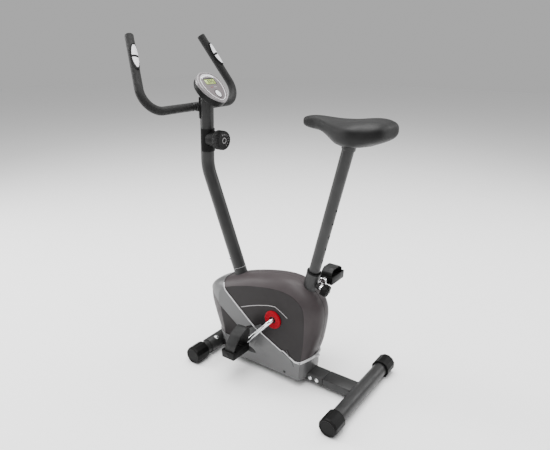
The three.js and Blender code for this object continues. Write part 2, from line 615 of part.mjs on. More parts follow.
part('console_back', consoleBack(), look.plastic(), consoleGroup);
part('console_bezel', cut(egg(1, -3.7, 2), egg(0.86, -10, 10)), look.silver(), consoleGroup);
part('console_face', cut(egg(0.85, -3, 1.5), lcdBox(0.4, -10, 10), oval(14.5, 11, -10, 10)), look.grey(),
  consoleGroup);
part('lcd_window', lcdBox(0, -2.5, 0.8), look.lcd(), consoleGroup);
part('mode_button', oval(14, 10.5, -2, 3.2), look.white(), consoleGroup);

function consoleBracket() {
  const plug = rod(V(-340.9, 0, 930), V(-338.8, 0, 990), POST_R - POST_WALL - 0.8, 18);
  const plate = box(-26, 26, -24, 24, -CONSOLE.depth - 3.6, -CONSOLE.depth - GAP).applyMatrix4(consoleFrame);
  return join(cut(plug, aboveConsoleBack(CONSOLE.depth + 2)), plate);
}
part('console_bracket', consoleBracket(), look.steel());

// ---------------------------------------------------------------- resistance dial
const postRear = -345 + POST_R;
function dialHousing() {
  const collar = pipe(V(-345.5, 0, DIAL.z - 44), V(-343.3, 0, DIAL.z + 36), POST_R + 3, POST_R + 0.8, 24);
  const front = box(-420, -350, -60, 60, 700, 950);
  const drum = cut(rod(V(postRear - 8, 0, DIAL.z), V(DIAL.rear - 33, 0, DIAL.z), 29, 24),
    rod(V(-345.8, 0, 700), V(-342.5, 0, 920), POST_R + 0.8, 24));
  return cut(join(cut(collar, front), drum), rod(V(-350, 0, DIAL.z), V(-309, 0, DIAL.z), 4, 12),
    rod(V(-306, 0, DIAL.z), V(-280, 0, DIAL.z), 6, 12));
}
function dialKnob() {
  const grip = rod(V(DIAL.rear - 32.5, 0, DIAL.z), V(DIAL.rear, 0, DIAL.z), DIAL.r, 32);
  const flutes = [...Array(12).keys()].map((i) => {
    const angle = i * 30 * DEG;
    const y = (DIAL.r + 2.5) * Math.cos(angle);
    const z = DIAL.z + (DIAL.r + 2.5) * Math.sin(angle);
    return rod(V(DIAL.rear - 26, y, z), V(DIAL.rear + 5, y, z), 4.5, 8);
  });
  const stem = rod(V(DIAL.rear - 41, 0, DIAL.z), V(DIAL.rear - 30, 0, DIAL.z), 5.5, 12);
  return join(cut(grip, ...flutes), stem);
}
part('dial_housing', dialHousing(), look.plastic());
part('dial_knob', dialKnob(), look.plastic());

// ---------------------------------------------------------------- seat post, pin, saddle
function seatPost() {
  const tube = cut(rod(V(0, 0, 250), V(0, 0, 886), SEAT_POST_R, 18), rod(V(0, 0, 240), V(0, 0, 900), 17.2, 18));
  const holes = [...Array(9).keys()].map((i) =>
    rod(V(10, 0, PIN_AT + (i - 2) * HOLE_PITCH), V(25, 0, PIN_AT + (i - 2) * HOLE_PITCH), 5.2, 8));
  return cut(tube, ...holes);
}
part('seat_post', seatPost(), look.steel(), seatLine);

function seatBushing() {
  const rim = rod(V(0, 0, SLEEVE_TOP + GAP), V(0, 0, SLEEVE_TOP + 6), POST_R + 0.8, 24);
  const liner = rod(V(0, 0, SLEEVE_TOP - 90), V(0, 0, SLEEVE_TOP + 1), 20.4, 18);
  return cut(join(rim, liner), rod(V(0, 0, 300), V(0, 0, 500), SEAT_POST_R + 0.6, 18),
    rod(V(0, 0, PIN_AT), V(30, 0, PIN_AT), 5.4, 12));
}
part('seat_bushing', seatBushing(), look.plastic(), seatLine);
part('seat_pin', join(rod(V(19.6, 0, PIN_AT), V(60, 0, PIN_AT), 4.8, 12),
  rod(V(37, 0, PIN_AT), V(46, 0, PIN_AT), 8.5, 12)), look.chrome(), seatLine);

function seatKnob() {
  const lobes = [...Array(6).keys()].map((i) => {
    const angle = i * 60 * DEG;
    return rod(V(46.5, 15 * Math.cos(angle), PIN_AT + 15 * Math.sin(angle)),
      V(68, 15 * Math.cos(angle), PIN_AT + 15 * Math.sin(angle)), 7.5, 10);
  });
  const hub = rod(V(46.5, 0, PIN_AT), V(72, 0, PIN_AT), 15.5, 18);
  return cut(join(hub, ...lobes), rod(V(40, 0, PIN_AT), V(61, 0, PIN_AT), 5.1, 12));
}
part('seat_knob', seatKnob(), look.plastic(), seatLine);

// Saddle: lengths along the bike, half widths and heights as smooth functions of t from nose to tail.
const SADDLE = { nose: 66, tail: 352, half: 104, base: 876 };
const step = (along, from, to) => THREE.MathUtils.smoothstep(along, from, to);
const saddleTop = (along) => 947 - 9 * step(along, 0.1, 0.45) + 14 * step(along, 0.5, 0.9);
const saddleLow = (along) => 899 - 36 * step(along, 0.2, 0.55) + 14 * step(along, 0.7, 1);
function saddleSolid(shrink) {
  const ball = new THREE.SphereGeometry(1, 22, 12).rotateZ(Math.PI / 2);
  const place = ball.attributes.position;
  const halfLength = (SADDLE.tail - SADDLE.nose) / 2;
  for (let i = 0; i < place.count; i++) {
    const t = THREE.MathUtils.clamp(place.getX(i), -1, 1);
    const ring = Math.sqrt(Math.max(0, 1 - t * t));
    const c = ring > 1e-6 ? place.getY(i) / ring : 0;
    const s = ring > 1e-6 ? place.getZ(i) / ring : 0;
    const along = (t + 1) / 2;
    const roundEnds = Math.pow(ring, 0.42);
    const half = (29 + (SADDLE.half - 29) * step(along, 0.12, 0.74)) * roundEnds * shrink;
    const middle = 924 - 11 * step(along, 0.1, 0.6);
    const rise = s > 0 ? saddleTop(along) - middle : middle - saddleLow(along);
    place.setXYZ(i, SADDLE.nose + halfLength + halfLength * t * shrink,
      half * Math.sign(c) * Math.pow(Math.abs(c), 0.75),
      middle + rise * roundEnds * Math.sign(s) * Math.pow(Math.abs(s), 0.75));
  }
  return ball;
}
const seatTopZ = SADDLE.base;
part('seat_cushion', common(saddleSolid(1), box(0, 400, -150, 150, seatTopZ, 1000)), look.vinyl());
part('seat_pan', common(saddleSolid(0.93), box(0, 400, -150, 150, seatTopZ - 6, seatTopZ - GAP)), look.plastic());

function seatBracket() {
  const collar = rod(onSeatAxis(878), onSeatAxis(892), SEAT_POST_R + 0.4 + 4, 20);
  const plate = box(182, 270, -28, 28, seatTopZ - 11, seatTopZ - 6 - GAP);
  return cut(join(collar, plate), rod(onSeatAxis(840), onSeatAxis(893), SEAT_POST_R + GAP, 24),
    box(100, 400, -100, 100, seatTopZ - 6 - GAP, 950));
}
part('seat_bracket', seatBracket(), look.steel());

export default bike;
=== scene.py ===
# %% [markdown]
# An upright exercise bike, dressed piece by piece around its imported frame. The frame already
# holds every solid of the real bike at its real size and place, so this lesson never measures
# anything twice: lengths are read from the frame, or repeated from the same driving dimensions.
# Everything is in metres; the helpers below take millimetres, which suit a bike better.

# %% Load the frame
import json
import math

import bmesh
import bpy
from mathutils import Matrix, Quaternion, Vector


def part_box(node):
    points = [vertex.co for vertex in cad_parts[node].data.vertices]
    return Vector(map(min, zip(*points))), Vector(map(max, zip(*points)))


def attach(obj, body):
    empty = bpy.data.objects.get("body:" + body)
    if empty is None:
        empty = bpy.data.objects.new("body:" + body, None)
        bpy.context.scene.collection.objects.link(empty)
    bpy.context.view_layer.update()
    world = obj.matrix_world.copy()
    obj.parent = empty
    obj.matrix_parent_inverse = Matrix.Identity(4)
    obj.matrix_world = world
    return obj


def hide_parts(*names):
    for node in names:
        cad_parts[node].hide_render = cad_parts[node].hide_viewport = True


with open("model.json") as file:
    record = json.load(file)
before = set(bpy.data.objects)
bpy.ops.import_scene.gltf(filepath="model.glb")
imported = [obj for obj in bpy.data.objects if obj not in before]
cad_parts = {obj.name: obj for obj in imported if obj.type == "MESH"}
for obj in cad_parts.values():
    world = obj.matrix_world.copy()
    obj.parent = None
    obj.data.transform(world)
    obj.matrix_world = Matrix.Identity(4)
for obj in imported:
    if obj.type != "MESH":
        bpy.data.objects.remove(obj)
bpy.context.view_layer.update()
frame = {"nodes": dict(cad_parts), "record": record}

# %% [markdown]
# The bike's own measuring frame puts x = 0 midway between the two foot tubes. The front foot
# tube's box tells how far that is from the frame's origin, so P() turns millimetres on the bike
# into a point in the frame. LEFT and RIGHT are the signs of y on the rider's two sides.

# %% Measures shared with the solids
MM = 0.001
FOOT_X, FOOT_Z = 305, 32
foot_low, foot_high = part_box("front_foot_tube")
SHIFT = (foot_low.x + foot_high.x) / 2 / MM + FOOT_X
LEFT, RIGHT = -1, 1
SIDES = (("left", LEFT), ("right", RIGHT))


def P(x, y, z):
    return Vector(((x + SHIFT) * MM, y * MM, z * MM))


def box_mm(node):
    low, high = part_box(node)
    return (low.x / MM - SHIFT, low.y / MM, low.z / MM), (high.x / MM - SHIFT, high.y / MM, high.z / MM)


print("bike x = 0 lies", round(SHIFT, 1), "mm behind the frame's origin")

# %% [markdown]
# The camera stands behind the bike on its left, a little above the handlebar, with a slightly
# wide lens. It is placed by azimuth and elevation, the way one walks round a thing to look at it.

# %% Camera
CAMERA_AT = P(931, -1365, 1159)
AZIMUTH, ELEVATION = math.radians(35.65), math.radians(19.64)
LENS = 34.12

camera = bpy.data.objects.new("camera", bpy.data.cameras.new("camera"))
bpy.context.scene.collection.objects.link(camera)
camera.data.lens = LENS
camera.data.sensor_width = 36
camera.location = CAMERA_AT
away = Vector((-math.sin(AZIMUTH) * math.cos(ELEVATION), math.cos(AZIMUTH) * math.cos(ELEVATION),
               -math.sin(ELEVATION)))
camera.rotation_euler = away.to_track_quat("-Z", "Y").to_euler()
bpy.context.scene.camera = camera
print("camera", round(math.degrees(AZIMUTH), 1), "degrees round,", round(math.degrees(ELEVATION), 1), "up")

# %% [markdown]
# Most of the light is one wide soft box straight overhead. A weaker key stands behind the camera,
# one from the front left draws the long highlights down the tubes, and one lights the far side.
# A grey world fills the shadows. The floor is plain.

# %% Floor and light
FLOOR_SIZE, FLOOR_WHITE = 12, 0.97
WORLD_STRENGTH = 0.48


def soft_box(name, at, toward, size, power):
    lamp = bpy.data.lights.new(name, "AREA")
    lamp.shape = "RECTANGLE"
    lamp.size, lamp.size_y = size
    lamp.energy = power
    holder = bpy.data.objects.new(name, lamp)
    holder.location = at
    holder.rotation_euler = (Vector(toward) - Vector(at)).to_track_quat("-Z", "Y").to_euler()
    bpy.context.scene.collection.objects.link(holder)


soft_box("key", (0.6, -2.2, 3.6), (0, 0, 0.5), (2.4, 1.8), 85)
soft_box("top", (-0.2, 0.2, 3.8), (0, 0, 0.4), (3.2, 3.2), 290)
soft_box("rim", (-2.9, -1.0, 1.7), (0, 0, 0.6), (0.9, 2.2), 80)
soft_box("back", (1.8, 2.4, 1.9), (0, 0, 0.6), (1.4, 2.0), 40)

world = bpy.data.worlds.new("studio")
world.use_nodes = True
world.node_tree.nodes["Background"].inputs["Color"].default_value = (1.0, 1.0, 1.0, 1)
world.node_tree.nodes["Background"].inputs["Strength"].default_value = WORLD_STRENGTH
bpy.context.scene.world = world

floor_bm = bmesh.new()
bmesh.ops.create_grid(floor_bm, x_segments=1, y_segments=1, size=FLOOR_SIZE)
floor_mesh = bpy.data.meshes.new("floor")
floor_bm.to_mesh(floor_mesh)
floor_bm.free()
floor = bpy.data.objects.new("floor", floor_mesh)
bpy.context.scene.collection.objects.link(floor)
floor_finish = bpy.data.materials.new("floor_paper")
floor_finish.use_nodes = True
floor_shader = floor_finish.node_tree.nodes["Principled BSDF"]
floor_shader.inputs["Base Color"].default_value = (FLOOR_WHITE, FLOOR_WHITE, FLOOR_WHITE, 1)
floor_shader.inputs["Roughness"].default_value = 0.9
floor_mesh.materials.append(floor_finish)

# %% [markdown]
# Finishes. Each one starts from Object coordinates, which on these pieces are metres in the
# frame, so a pattern of a given scale has the same real grain everywhere. The helpers build the
# three things nearly every finish needs: a mottled colour, an uneven roughness and a fine bump.


# %% Helpers for finishes
def start_finish(name, color, roughness, metallic=0.0, coat=0.0, coat_roughness=0.1, shine=0.5):
    finish = bpy.data.materials.new(name)
    finish.use_nodes = True
    tree = finish.node_tree
    shader = tree.nodes["Principled BSDF"]
    shader.inputs["Base Color"].default_value = (*color, 1)
    shader.inputs["Roughness"].default_value = roughness
    shader.inputs["Metallic"].default_value = metallic
    shader.inputs["Specular IOR Level"].default_value = shine
    shader.inputs["Coat Weight"].default_value = coat
    shader.inputs["Coat Roughness"].default_value = coat_roughness
    places = tree.nodes.new("ShaderNodeTexCoord").outputs["Object"]
    return finish, tree, shader, places


def grain(tree, places, scale, detail=3.0, roughness=0.5):
    noise = tree.nodes.new("ShaderNodeTexNoise")
    noise.inputs["Scale"].default_value = scale
    noise.inputs["Detail"].default_value = detail
    noise.inputs["Roughness"].default_value = roughness
    tree.links.new(places, noise.inputs["Vector"])
    return noise.outputs["Fac"]


def spread(tree, value, low, high):
    stretch = tree.nodes.new("ShaderNodeMapRange")
    stretch.inputs["From Min"].default_value = 0.3
    stretch.inputs["From Max"].default_value = 0.7
    stretch.inputs["To Min"].default_value = low
    stretch.inputs["To Max"].default_value = high
    tree.links.new(value, stretch.inputs["Value"])
    return stretch.outputs["Result"]


def mottle(tree, shader, value, dark, light):
    ramp = tree.nodes.new("ShaderNodeValToRGB")
    ramp.color_ramp.elements[0].position = 0.35
    ramp.color_ramp.elements[1].position = 0.65
    ramp.color_ramp.elements[0].color = (*dark, 1)
    ramp.color_ramp.elements[1].color = (*light, 1)
    tree.links.new(value, ramp.inputs["Fac"])
    tree.links.new(ramp.outputs["Color"], shader.inputs["Base Color"])
    return ramp.outputs["Color"]


def raise_bump(tree, shader, height, strength, distance):
    bump = tree.nodes.new("ShaderNodeBump")
    bump.inputs["Strength"].default_value = strength
    bump.inputs["Distance"].default_value = distance
    tree.links.new(height, bump.inputs["Height"])
    tree.links.new(bump.outputs["Normal"], shader.inputs["Normal"])
    return bump

print("finish helpers ready")

# %% [markdown]
# Powder coat on the tubes is black with a slight orange peel: a soft ripple about 2 mm across
# over a much finer tooth. The two noises go into one bump through a Math node.


# %% Powder coat
def powder_coat():
    finish, tree, shader, places = start_finish("powder_coat", (0.012, 0.012, 0.012), 0.42, shine=0.4)
    mottle(tree, shader, grain(tree, places, 9), (0.010, 0.010, 0.010), (0.016, 0.016, 0.016))
    tooth = grain(tree, places, 1500, 2)
    peel = grain(tree, places, 420, 2)
    both = tree.nodes.new("ShaderNodeMath")
    both.operation = "MULTIPLY_ADD"
    both.inputs[1].default_value = 0.5
    tree.links.new(tooth, both.inputs[0])
    tree.links.new(peel, both.inputs[2])
    raise_bump(tree, shader, both.outputs["Value"], 0.22, 0.0003)
    tree.links.new(spread(tree, grain(tree, places, 30), 0.36, 0.5), shader.inputs["Roughness"])
    return finish


# %% [markdown]
# Moulded parts differ in colour and gloss but are textured alike, so one function makes them all:
# a faint mottle, the fine tooth that a spark-eroded mould leaves, and a gloss that wanders.

# %% Moulded plastics
def moulded(name, dark, light, rough_low, rough_high, tooth_scale=1400, tooth=0.15, coat=0.0, metallic=0.0,
            shine=0.3):
    finish, tree, shader, places = start_finish(name, light, rough_low, metallic, coat, shine=shine)
    mottle(tree, shader, grain(tree, places, 14, 4), dark, light)
    raise_bump(tree, shader, grain(tree, places, tooth_scale, 2), tooth, 0.0002)
    tree.links.new(spread(tree, grain(tree, places, 45), rough_low, rough_high), shader.inputs["Roughness"])
    return finish


# %% [markdown]
# The casing is one moulding in one plastic. Its crown catches the light and reads much paler than
# its flat side panels, more than these lights give it, so a painted highlight makes the finish paler
# there as well. It changes over at the crease, which lies at a known distance from the middle plane.
# The step in tone is painted light chosen for the look, and a real shell may have none.


# %% Casing plastic
CASE_HALF = 64
CROWN_PAINTED_HIGHLIGHT = 3.2


def casing_plastic():
    finish, tree, shader, places = start_finish("casing_brown", (0.012, 0.009, 0.0098), 0.4, shine=0.18)
    tone = mottle(tree, shader, grain(tree, places, 14, 4), (0.0118, 0.0098, 0.0102), (0.0138, 0.0116, 0.012))
    apart = tree.nodes.new("ShaderNodeSeparateXYZ")
    tree.links.new(places, apart.inputs["Vector"])
    outward = tree.nodes.new("ShaderNodeMath")
    outward.operation = "ABSOLUTE"
    tree.links.new(apart.outputs["Y"], outward.inputs[0])
    # painted highlight: the colour is scaled up on the crown, outside the crease, to stand in for the light it catches
    crease = tree.nodes.new("ShaderNodeMapRange")
    crease.inputs["From Min"].default_value = (CASE_HALF - 1.0) * MM
    crease.inputs["From Max"].default_value = (CASE_HALF - 0.2) * MM
    crease.inputs["To Min"].default_value = CROWN_PAINTED_HIGHLIGHT
    crease.inputs["To Max"].default_value = 1.0
    tree.links.new(outward.outputs["Value"], crease.inputs["Value"])
    scaled = tree.nodes.new("ShaderNodeVectorMath")
    scaled.operation = "SCALE"
    tree.links.new(tone, scaled.inputs["Vector"])
    tree.links.new(crease.outputs["Result"], scaled.inputs["Scale"])
    tree.links.new(scaled.outputs["Vector"], shader.inputs["Base Color"])
    raise_bump(tree, shader, grain(tree, places, 1800, 2), 0.08, 0.0002)
    tree.links.new(spread(tree, grain(tree, places, 45), 0.38, 0.48), shader.inputs["Roughness"])
    return finish


# %% [markdown]
# Foam grips are a closed-cell sleeve: tiny round pores, almost no gloss. A Voronoi distance makes
# the pores. The saddle's vinyl uses a coarser Voronoi for its creased pebble grain.


# %% Foam, vinyl and rubber
def foam():
    finish, tree, shader, places = start_finish("grip_foam", (0.01, 0.01, 0.01), 0.7, shine=0.22)
    shader.inputs["Sheen Weight"].default_value = 0.06
    shader.inputs["Sheen Roughness"].default_value = 0.5
    cells = tree.nodes.new("ShaderNodeTexVoronoi")
    cells.inputs["Scale"].default_value = 900
    tree.links.new(places, cells.inputs["Vector"])
    mottle(tree, shader, cells.outputs["Distance"], (0.004, 0.004, 0.004), (0.009, 0.009, 0.009))
    raise_bump(tree, shader, cells.outputs["Distance"], 0.5, 0.0004)
    tree.links.new(spread(tree, grain(tree, places, 60), 0.6, 0.75), shader.inputs["Roughness"])
    return finish


def vinyl():
    finish, tree, shader, places = start_finish("saddle_vinyl", (0.006, 0.006, 0.006), 0.45, shine=0.22)
    warp = tree.nodes.new("ShaderNodeTexVoronoi")
    warp.feature = "DISTANCE_TO_EDGE"
    warp.inputs["Scale"].default_value = 520
    tree.links.new(places, warp.inputs["Vector"])
    mottle(tree, shader, grain(tree, places, 20, 4), (0.004, 0.004, 0.004), (0.007, 0.007, 0.007))
    raise_bump(tree, shader, warp.outputs["Distance"], 0.25, 0.00025)
    tree.links.new(spread(tree, grain(tree, places, 25), 0.48, 0.6), shader.inputs["Roughness"])
    return finish


def strap_rubber():
    finish, tree, shader, places = start_finish("strap_rubber", (0.012, 0.012, 0.012), 0.6, shine=0.3)
    mottle(tree, shader, grain(tree, places, 30), (0.006, 0.006, 0.006), (0.011, 0.011, 0.011))
    raise_bump(tree, shader, grain(tree, places, 900, 2), 0.25, 0.0003)
    tree.links.new(spread(tree, grain(tree, places, 70), 0.5, 0.7), shader.inputs["Roughness"])
    return finish


# %% [markdown]
# Chrome is nearly a mirror; what makes it read as plated metal is faint cloudy haze and a few
# fine polishing marks, so its roughness wanders and its bump is very weak and stretched.


# %% Metals
def chrome():
    finish, tree, shader, places = start_finish("chrome_plate", (0.82, 0.83, 0.85), 0.08, 1.0)
    mottle(tree, shader, grain(tree, places, 40), (0.74, 0.75, 0.77), (0.88, 0.89, 0.9))
    raise_bump(tree, shader, grain(tree, places, 700, 4), 0.04, 0.0002)
    tree.links.new(spread(tree, grain(tree, places, 90, 4), 0.05, 0.16), shader.inputs["Roughness"])
    return finish


def bare_iron():
    finish, tree, shader, places = start_finish("bare_iron", (0.3, 0.3, 0.31), 0.4, 0.9)
    mottle(tree, shader, grain(tree, places, 60), (0.2, 0.2, 0.21), (0.34, 0.34, 0.35))
    raise_bump(tree, shader, grain(tree, places, 1200, 3), 0.2, 0.0003)
    tree.links.new(spread(tree, grain(tree, places, 50), 0.3, 0.5), shader.inputs["Roughness"])
    return finish


# %% [markdown]
# The base cover is sprayed with a silver-grey paint. Its flakes are tiny cells, each a slightly
# different grey, under a thin clear coat.

# %% Silver paint with a metallic flake
def silver_paint():
    finish, tree, shader, places = start_finish("silver_paint", (0.1, 0.1, 0.1), 0.4, 0.25, 0.1, 0.2, shine=0.4)
    flakes = tree.nodes.new("ShaderNodeTexVoronoi")
    flakes.inputs["Scale"].default_value = 2600
    tree.links.new(places, flakes.inputs["Vector"])
    mottle(tree, shader, flakes.outputs["Distance"], (0.096, 0.096, 0.097), (0.084, 0.084, 0.085))
    raise_bump(tree, shader, grain(tree, places, 1100, 2), 0.08, 0.0002)
    tree.links.new(spread(tree, grain(tree, places, 30), 0.32, 0.44), shader.inputs["Roughness"])
    return finish


# %% [markdown]
# The display is a green-grey liquid crystal under a clear window. It is kept opaque, with a soft
# sheen, because nothing behind it has to be seen. The rest of the cell gathers every finish.

# %% Display window
def display_glass():
    finish, tree, shader, places = start_finish("display_window", (0.3, 0.4, 0.1), 0.35, 0.0, 0.1, 0.05)
    mottle(tree, shader, grain(tree, places, 60, 1), (0.28, 0.37, 0.09), (0.34, 0.43, 0.13))
    raise_bump(tree, shader, grain(tree, places, 2200, 1), 0.03, 0.0001)
    return finish


finishes = {
    "black_steel": powder_coat(),
    "black_plastic": moulded("black_plastic", (0.0026, 0.0026, 0.0026), (0.0045, 0.0045, 0.0045), 0.42, 0.54, 1200,
                             0.16, shine=0.12),
    "chrome": chrome(),
    "casing_brown": casing_plastic(),
    "silver_plastic": silver_paint(),
    "red_plastic": moulded("red_plastic", (0.22, 0.0, 0.006), (0.26, 0.0, 0.008), 0.42, 0.52, 1800, 0.06,
                           shine=0.08),
    "iron": bare_iron(),
    "rubber": strap_rubber(),
    "foam": foam(),
    "vinyl": vinyl(),
    "grey_plastic": moulded("grey_plastic", (0.1, 0.087, 0.091), (0.12, 0.104, 0.108), 0.4, 0.5, 1500, 0.1),
    "lcd": display_glass(),
}
# painted highlight: a bright silver standing in for the light caught on the cover's upper edge and on the post's seam
# ring
painted_highlight_silver = moulded("painted_highlight_edge", (0.5, 0.5, 0.51), (0.58, 0.58, 0.59), 0.25, 0.34, 1800, 0.05, 0.2, 0.2)
bezel_silver = moulded("bezel_silver", (0.17, 0.16, 0.165), (0.2, 0.19, 0.195), 0.3, 0.38, 1800, 0.05, 0.1, 0.2)
ink = moulded("display_ink", (0.01, 0.012, 0.01), (0.016, 0.018, 0.016), 0.5, 0.6)
pale_print = moulded("pale_print", (0.34, 0.33, 0.335), (0.4, 0.39, 0.395), 0.4, 0.5)
bright_key = moulded("bright_key", (0.58, 0.58, 0.6), (0.66, 0.66, 0.68), 0.3, 0.4, 1500, 0.05, 0.2)
print(len(bpy.data.materials), "finishes")

# %% [markdown]
# Every solid that stays in sight keeps its shape and takes the finish of its material slot, so the
# hidden flywheel, pulleys, magnets and bearings are dressed as well as the outside.

# %% Dress the solids
slot_of = {row["node"]: row["material_slot"] for row in frame["record"]["subparts"]}
for node, solid in frame["nodes"].items():
    solid.data.materials.clear()
    solid.data.materials.append(finishes[slot_of[node]])
print("dressed", len(slot_of), "solids")

# %% [markdown]
# Helpers that turn a bmesh into a piece. Doubles are merged and normals recalculated before the
# mesh is stored; edges sharper than a limit stay crisp while the rest shades smoothly. Each piece
# rides on a body, takes its finish, and hides the solids that it stands for.


# %% From bmesh to piece
def tidy(bm):
    bmesh.ops.remove_doubles(bm, verts=bm.verts, dist=1e-6)
    bmesh.ops.dissolve_degenerate(bm, edges=bm.edges, dist=1e-7)
    bmesh.ops.recalc_face_normals(bm, faces=bm.faces)


def soften(bm, crisp_degrees):
    limit = math.radians(crisp_degrees)
    for face in bm.faces:
        face.smooth = True
    for edge in bm.edges:
        edge.smooth = not (edge.is_manifold and edge.calc_face_angle(0) > limit)


def make_piece(name, bm, finish, body, nodes=(), crisp=32):
    tidy(bm)
    soften(bm, crisp)
    mesh = bpy.data.meshes.new(name)
    bm.to_mesh(mesh)
    bm.free()
    mesh.materials.append(finish)
    piece = bpy.data.objects.new(name, mesh)
    bpy.context.scene.collection.objects.link(piece)
    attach(piece, body)
    if nodes:
        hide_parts(*nodes)
    return piece


# %% [markdown]
# Two ways of making nearly every tube. A sweep starts from a circle and is extruded from station
# to station, each station being a matrix that carries the ring there, so a rounded end is only a
# few stations that shrink. A turned part is a profile spun round an axis.


# %% Sweeping and turning
def facing(at, direction, across=None):
    """A matrix at a point whose Z looks along direction; across sets which way X points."""
    z = Vector(direction).normalized()
    x = Vector(across) if across is not None else (Vector((0, 1, 0)) if abs(z.y) < 0.9 else Vector((1, 0, 0)))
    x = (x - z * x.dot(z)).normalized()
    return Matrix.Translation(at) @ Matrix((x, z.cross(x), z)).transposed().to_4x4()


def rounded_route(corners, radius, step_degrees=6):
    """Straight runs between corners in millimetres, each corner turned with one bend radius."""
    corners = [Vector(c) for c in corners]
    route = [corners[0]]
    for before, here, after in zip(corners, corners[1:], corners[2:]):
        inward_run, outward_run = (here - before).normalized(), (after - here).normalized()
        turn = inward_run.angle(outward_run)
        start = here - inward_run * radius * math.tan(turn / 2)
        inward = (outward_run - inward_run * outward_run.dot(inward_run)).normalized()
        centre = start + inward * radius
        steps = max(2, math.ceil(math.degrees(turn) / step_degrees))
        for k in range(steps + 1):
            angle = turn * k / steps
            route.append(centre - inward * radius * math.cos(angle) + inward_run * radius * math.sin(angle))
    return route + [corners[-1]]


def stations(route, across=None):
    """One matrix per point, turned as little as possible from each to the next."""
    route = [Vector(p) for p in route]
    runs = [(b - a).normalized() for a, b in zip(route, route[1:])]
    headings = [runs[0]] + [(a + b).normalized() for a, b in zip(runs, runs[1:])] + [runs[-1]]
    first = facing(Vector((0, 0, 0)), headings[0], across).to_quaternion()
    turns, now = [first], first
    for a, b in zip(headings, headings[1:]):
        now = a.rotation_difference(b) @ now
        turns.append(now)
    return [Matrix.Translation(P(*p)) @ q.to_matrix().to_4x4() for p, q in zip(route, turns)]


def sweep(bm, places, ring_of, caps=True):
    """ring_of(bm, matrix) makes the first ring of edges; places are the matrices to extrude it through."""
    edges = ring_of(bm, places[0])
    first, before = edges, places[0]
    for place in places[1:]:
        grown = bmesh.ops.extrude_edge_only(bm, edges=edges)["geom"]
        verts = [g for g in grown if isinstance(g, bmesh.types.BMVert)]
        edges = [g for g in grown if isinstance(g, bmesh.types.BMEdge)]
        bmesh.ops.transform(bm, matrix=place @ before.inverted(), verts=verts)
        before = place
    if caps:
        bmesh.ops.edgeloop_fill(bm, edges=first)
        bmesh.ops.edgeloop_fill(bm, edges=edges)


def circle_ring(radius, sides=40):
    def ring(bm, place):
        made = bmesh.ops.create_circle(bm, cap_ends=False, segments=sides, radius=radius * MM, matrix=place)
        return list({e for v in made["verts"] for e in v.link_edges})
    return ring


def rounded_ends(places, radius, both=True, flat=0.35, steps=5):
    """Adds shrinking stations so that a swept bar ends in a soft nose."""
    def nose(place, sign):
        out = []
        for k in range(1, steps + 1):
            a = math.pi / 2 * k / steps
            size = max(math.cos(a), 0.02) * (1 - flat) + flat if k < steps else flat
            out.append(place @ Matrix.Translation((0, 0, sign * radius * (1 - flat) * math.sin(a) * MM))
                       @ Matrix.Diagonal((size, size, 1, 1)))
        return out
    head = list(reversed(nose(places[0], -1))) if both else []
    return head + places + nose(places[-1], 1)


def turned(bm, at, direction, profile, sides=48):
    """A closed profile of (radius, distance along) pairs in millimetres, spun round an axis."""
    place = facing(at, direction)
    verts = [bm.verts.new(place @ Vector((r * MM, 0, z * MM))) for r, z in profile]
    edges = [bm.edges.new(pair) for pair in zip(verts, verts[1:])]
    if profile[0][0] > 0.01 or profile[-1][0] > 0.01:
        edges.append(bm.edges.new((verts[-1], verts[0])))
    axis = (place.to_3x3() @ Vector((0, 0, 1))).normalized()
    bmesh.ops.spin(bm, geom=verts + edges, cent=at, axis=axis, angle=2 * math.pi, steps=sides,
                   use_merge=True, use_duplicate=False)


def rounded_block(bm, low, high, radius, segments=3, place=Matrix.Identity(4)):
    """A box between two corners in bike millimetres, with all its edges rounded."""
    a, b = P(*low), P(*high)
    made = bmesh.ops.create_cube(bm, size=1, matrix=Matrix.Translation((a + b) / 2)
                                 @ Matrix.Diagonal((*(b - a), 1)))
    edges = list({e for v in made["verts"] for e in v.link_edges})
    if radius:
        bmesh.ops.bevel(bm, geom=edges, offset=radius * MM, offset_type="OFFSET", segments=segments,
                        profile=0.5, affect="EDGES", material=-1, clamp_overlap=True)
    return made


print("helpers ready")

# %% [markdown]
# The feet. Each end of the bike stands on a round cross tube closed by a moulded cap. The cap is
# twelve-sided so that it can stand on a flat; its mouth is rolled and its end face is dished.

# %% Cross tubes
TUBE_SIDES = 64


def foot_tube(node, x):
    low, high = box_mm(node)
    radius = (high[2] - low[2]) / 2
    bm = bmesh.new()
    sweep(bm, stations([(x, low[1], FOOT_Z), (x, high[1], FOOT_Z)]), circle_ring(radius, TUBE_SIDES))
    return bm


make_piece("front_cross_tube", foot_tube("front_foot_tube", -FOOT_X), finishes["black_steel"], "base",
           ["front_foot_tube"])
print("front cross tube done")

# %% [markdown]
# The rear foot is a T: a cross tube with a flat stem that meets the rail of the main frame. The
# stem is a rounded block, and a bead swept along the joint stands for the weld.

# %% Rear foot: cross tube with its flat stem
RAIL_LOW, RAIL_HIGH, RAIL_HALF = 17, 47, 30
RAIL_END = 176
SEAM = 0.5


def rail_block(bm, x0, x1, grow=0.0, radius=3.2):
    rounded_block(bm, (x0, -RAIL_HALF - grow, RAIL_LOW - grow), (x1, RAIL_HALF + grow, RAIL_HIGH + grow), radius)


rear = foot_tube("rear_foot_tube", FOOT_X)
rail_block(rear, RAIL_END + SEAM, FOOT_X - 6)
make_piece("rear_cross_tube", rear, finishes["black_steel"], "base", ["rear_foot_tube"])

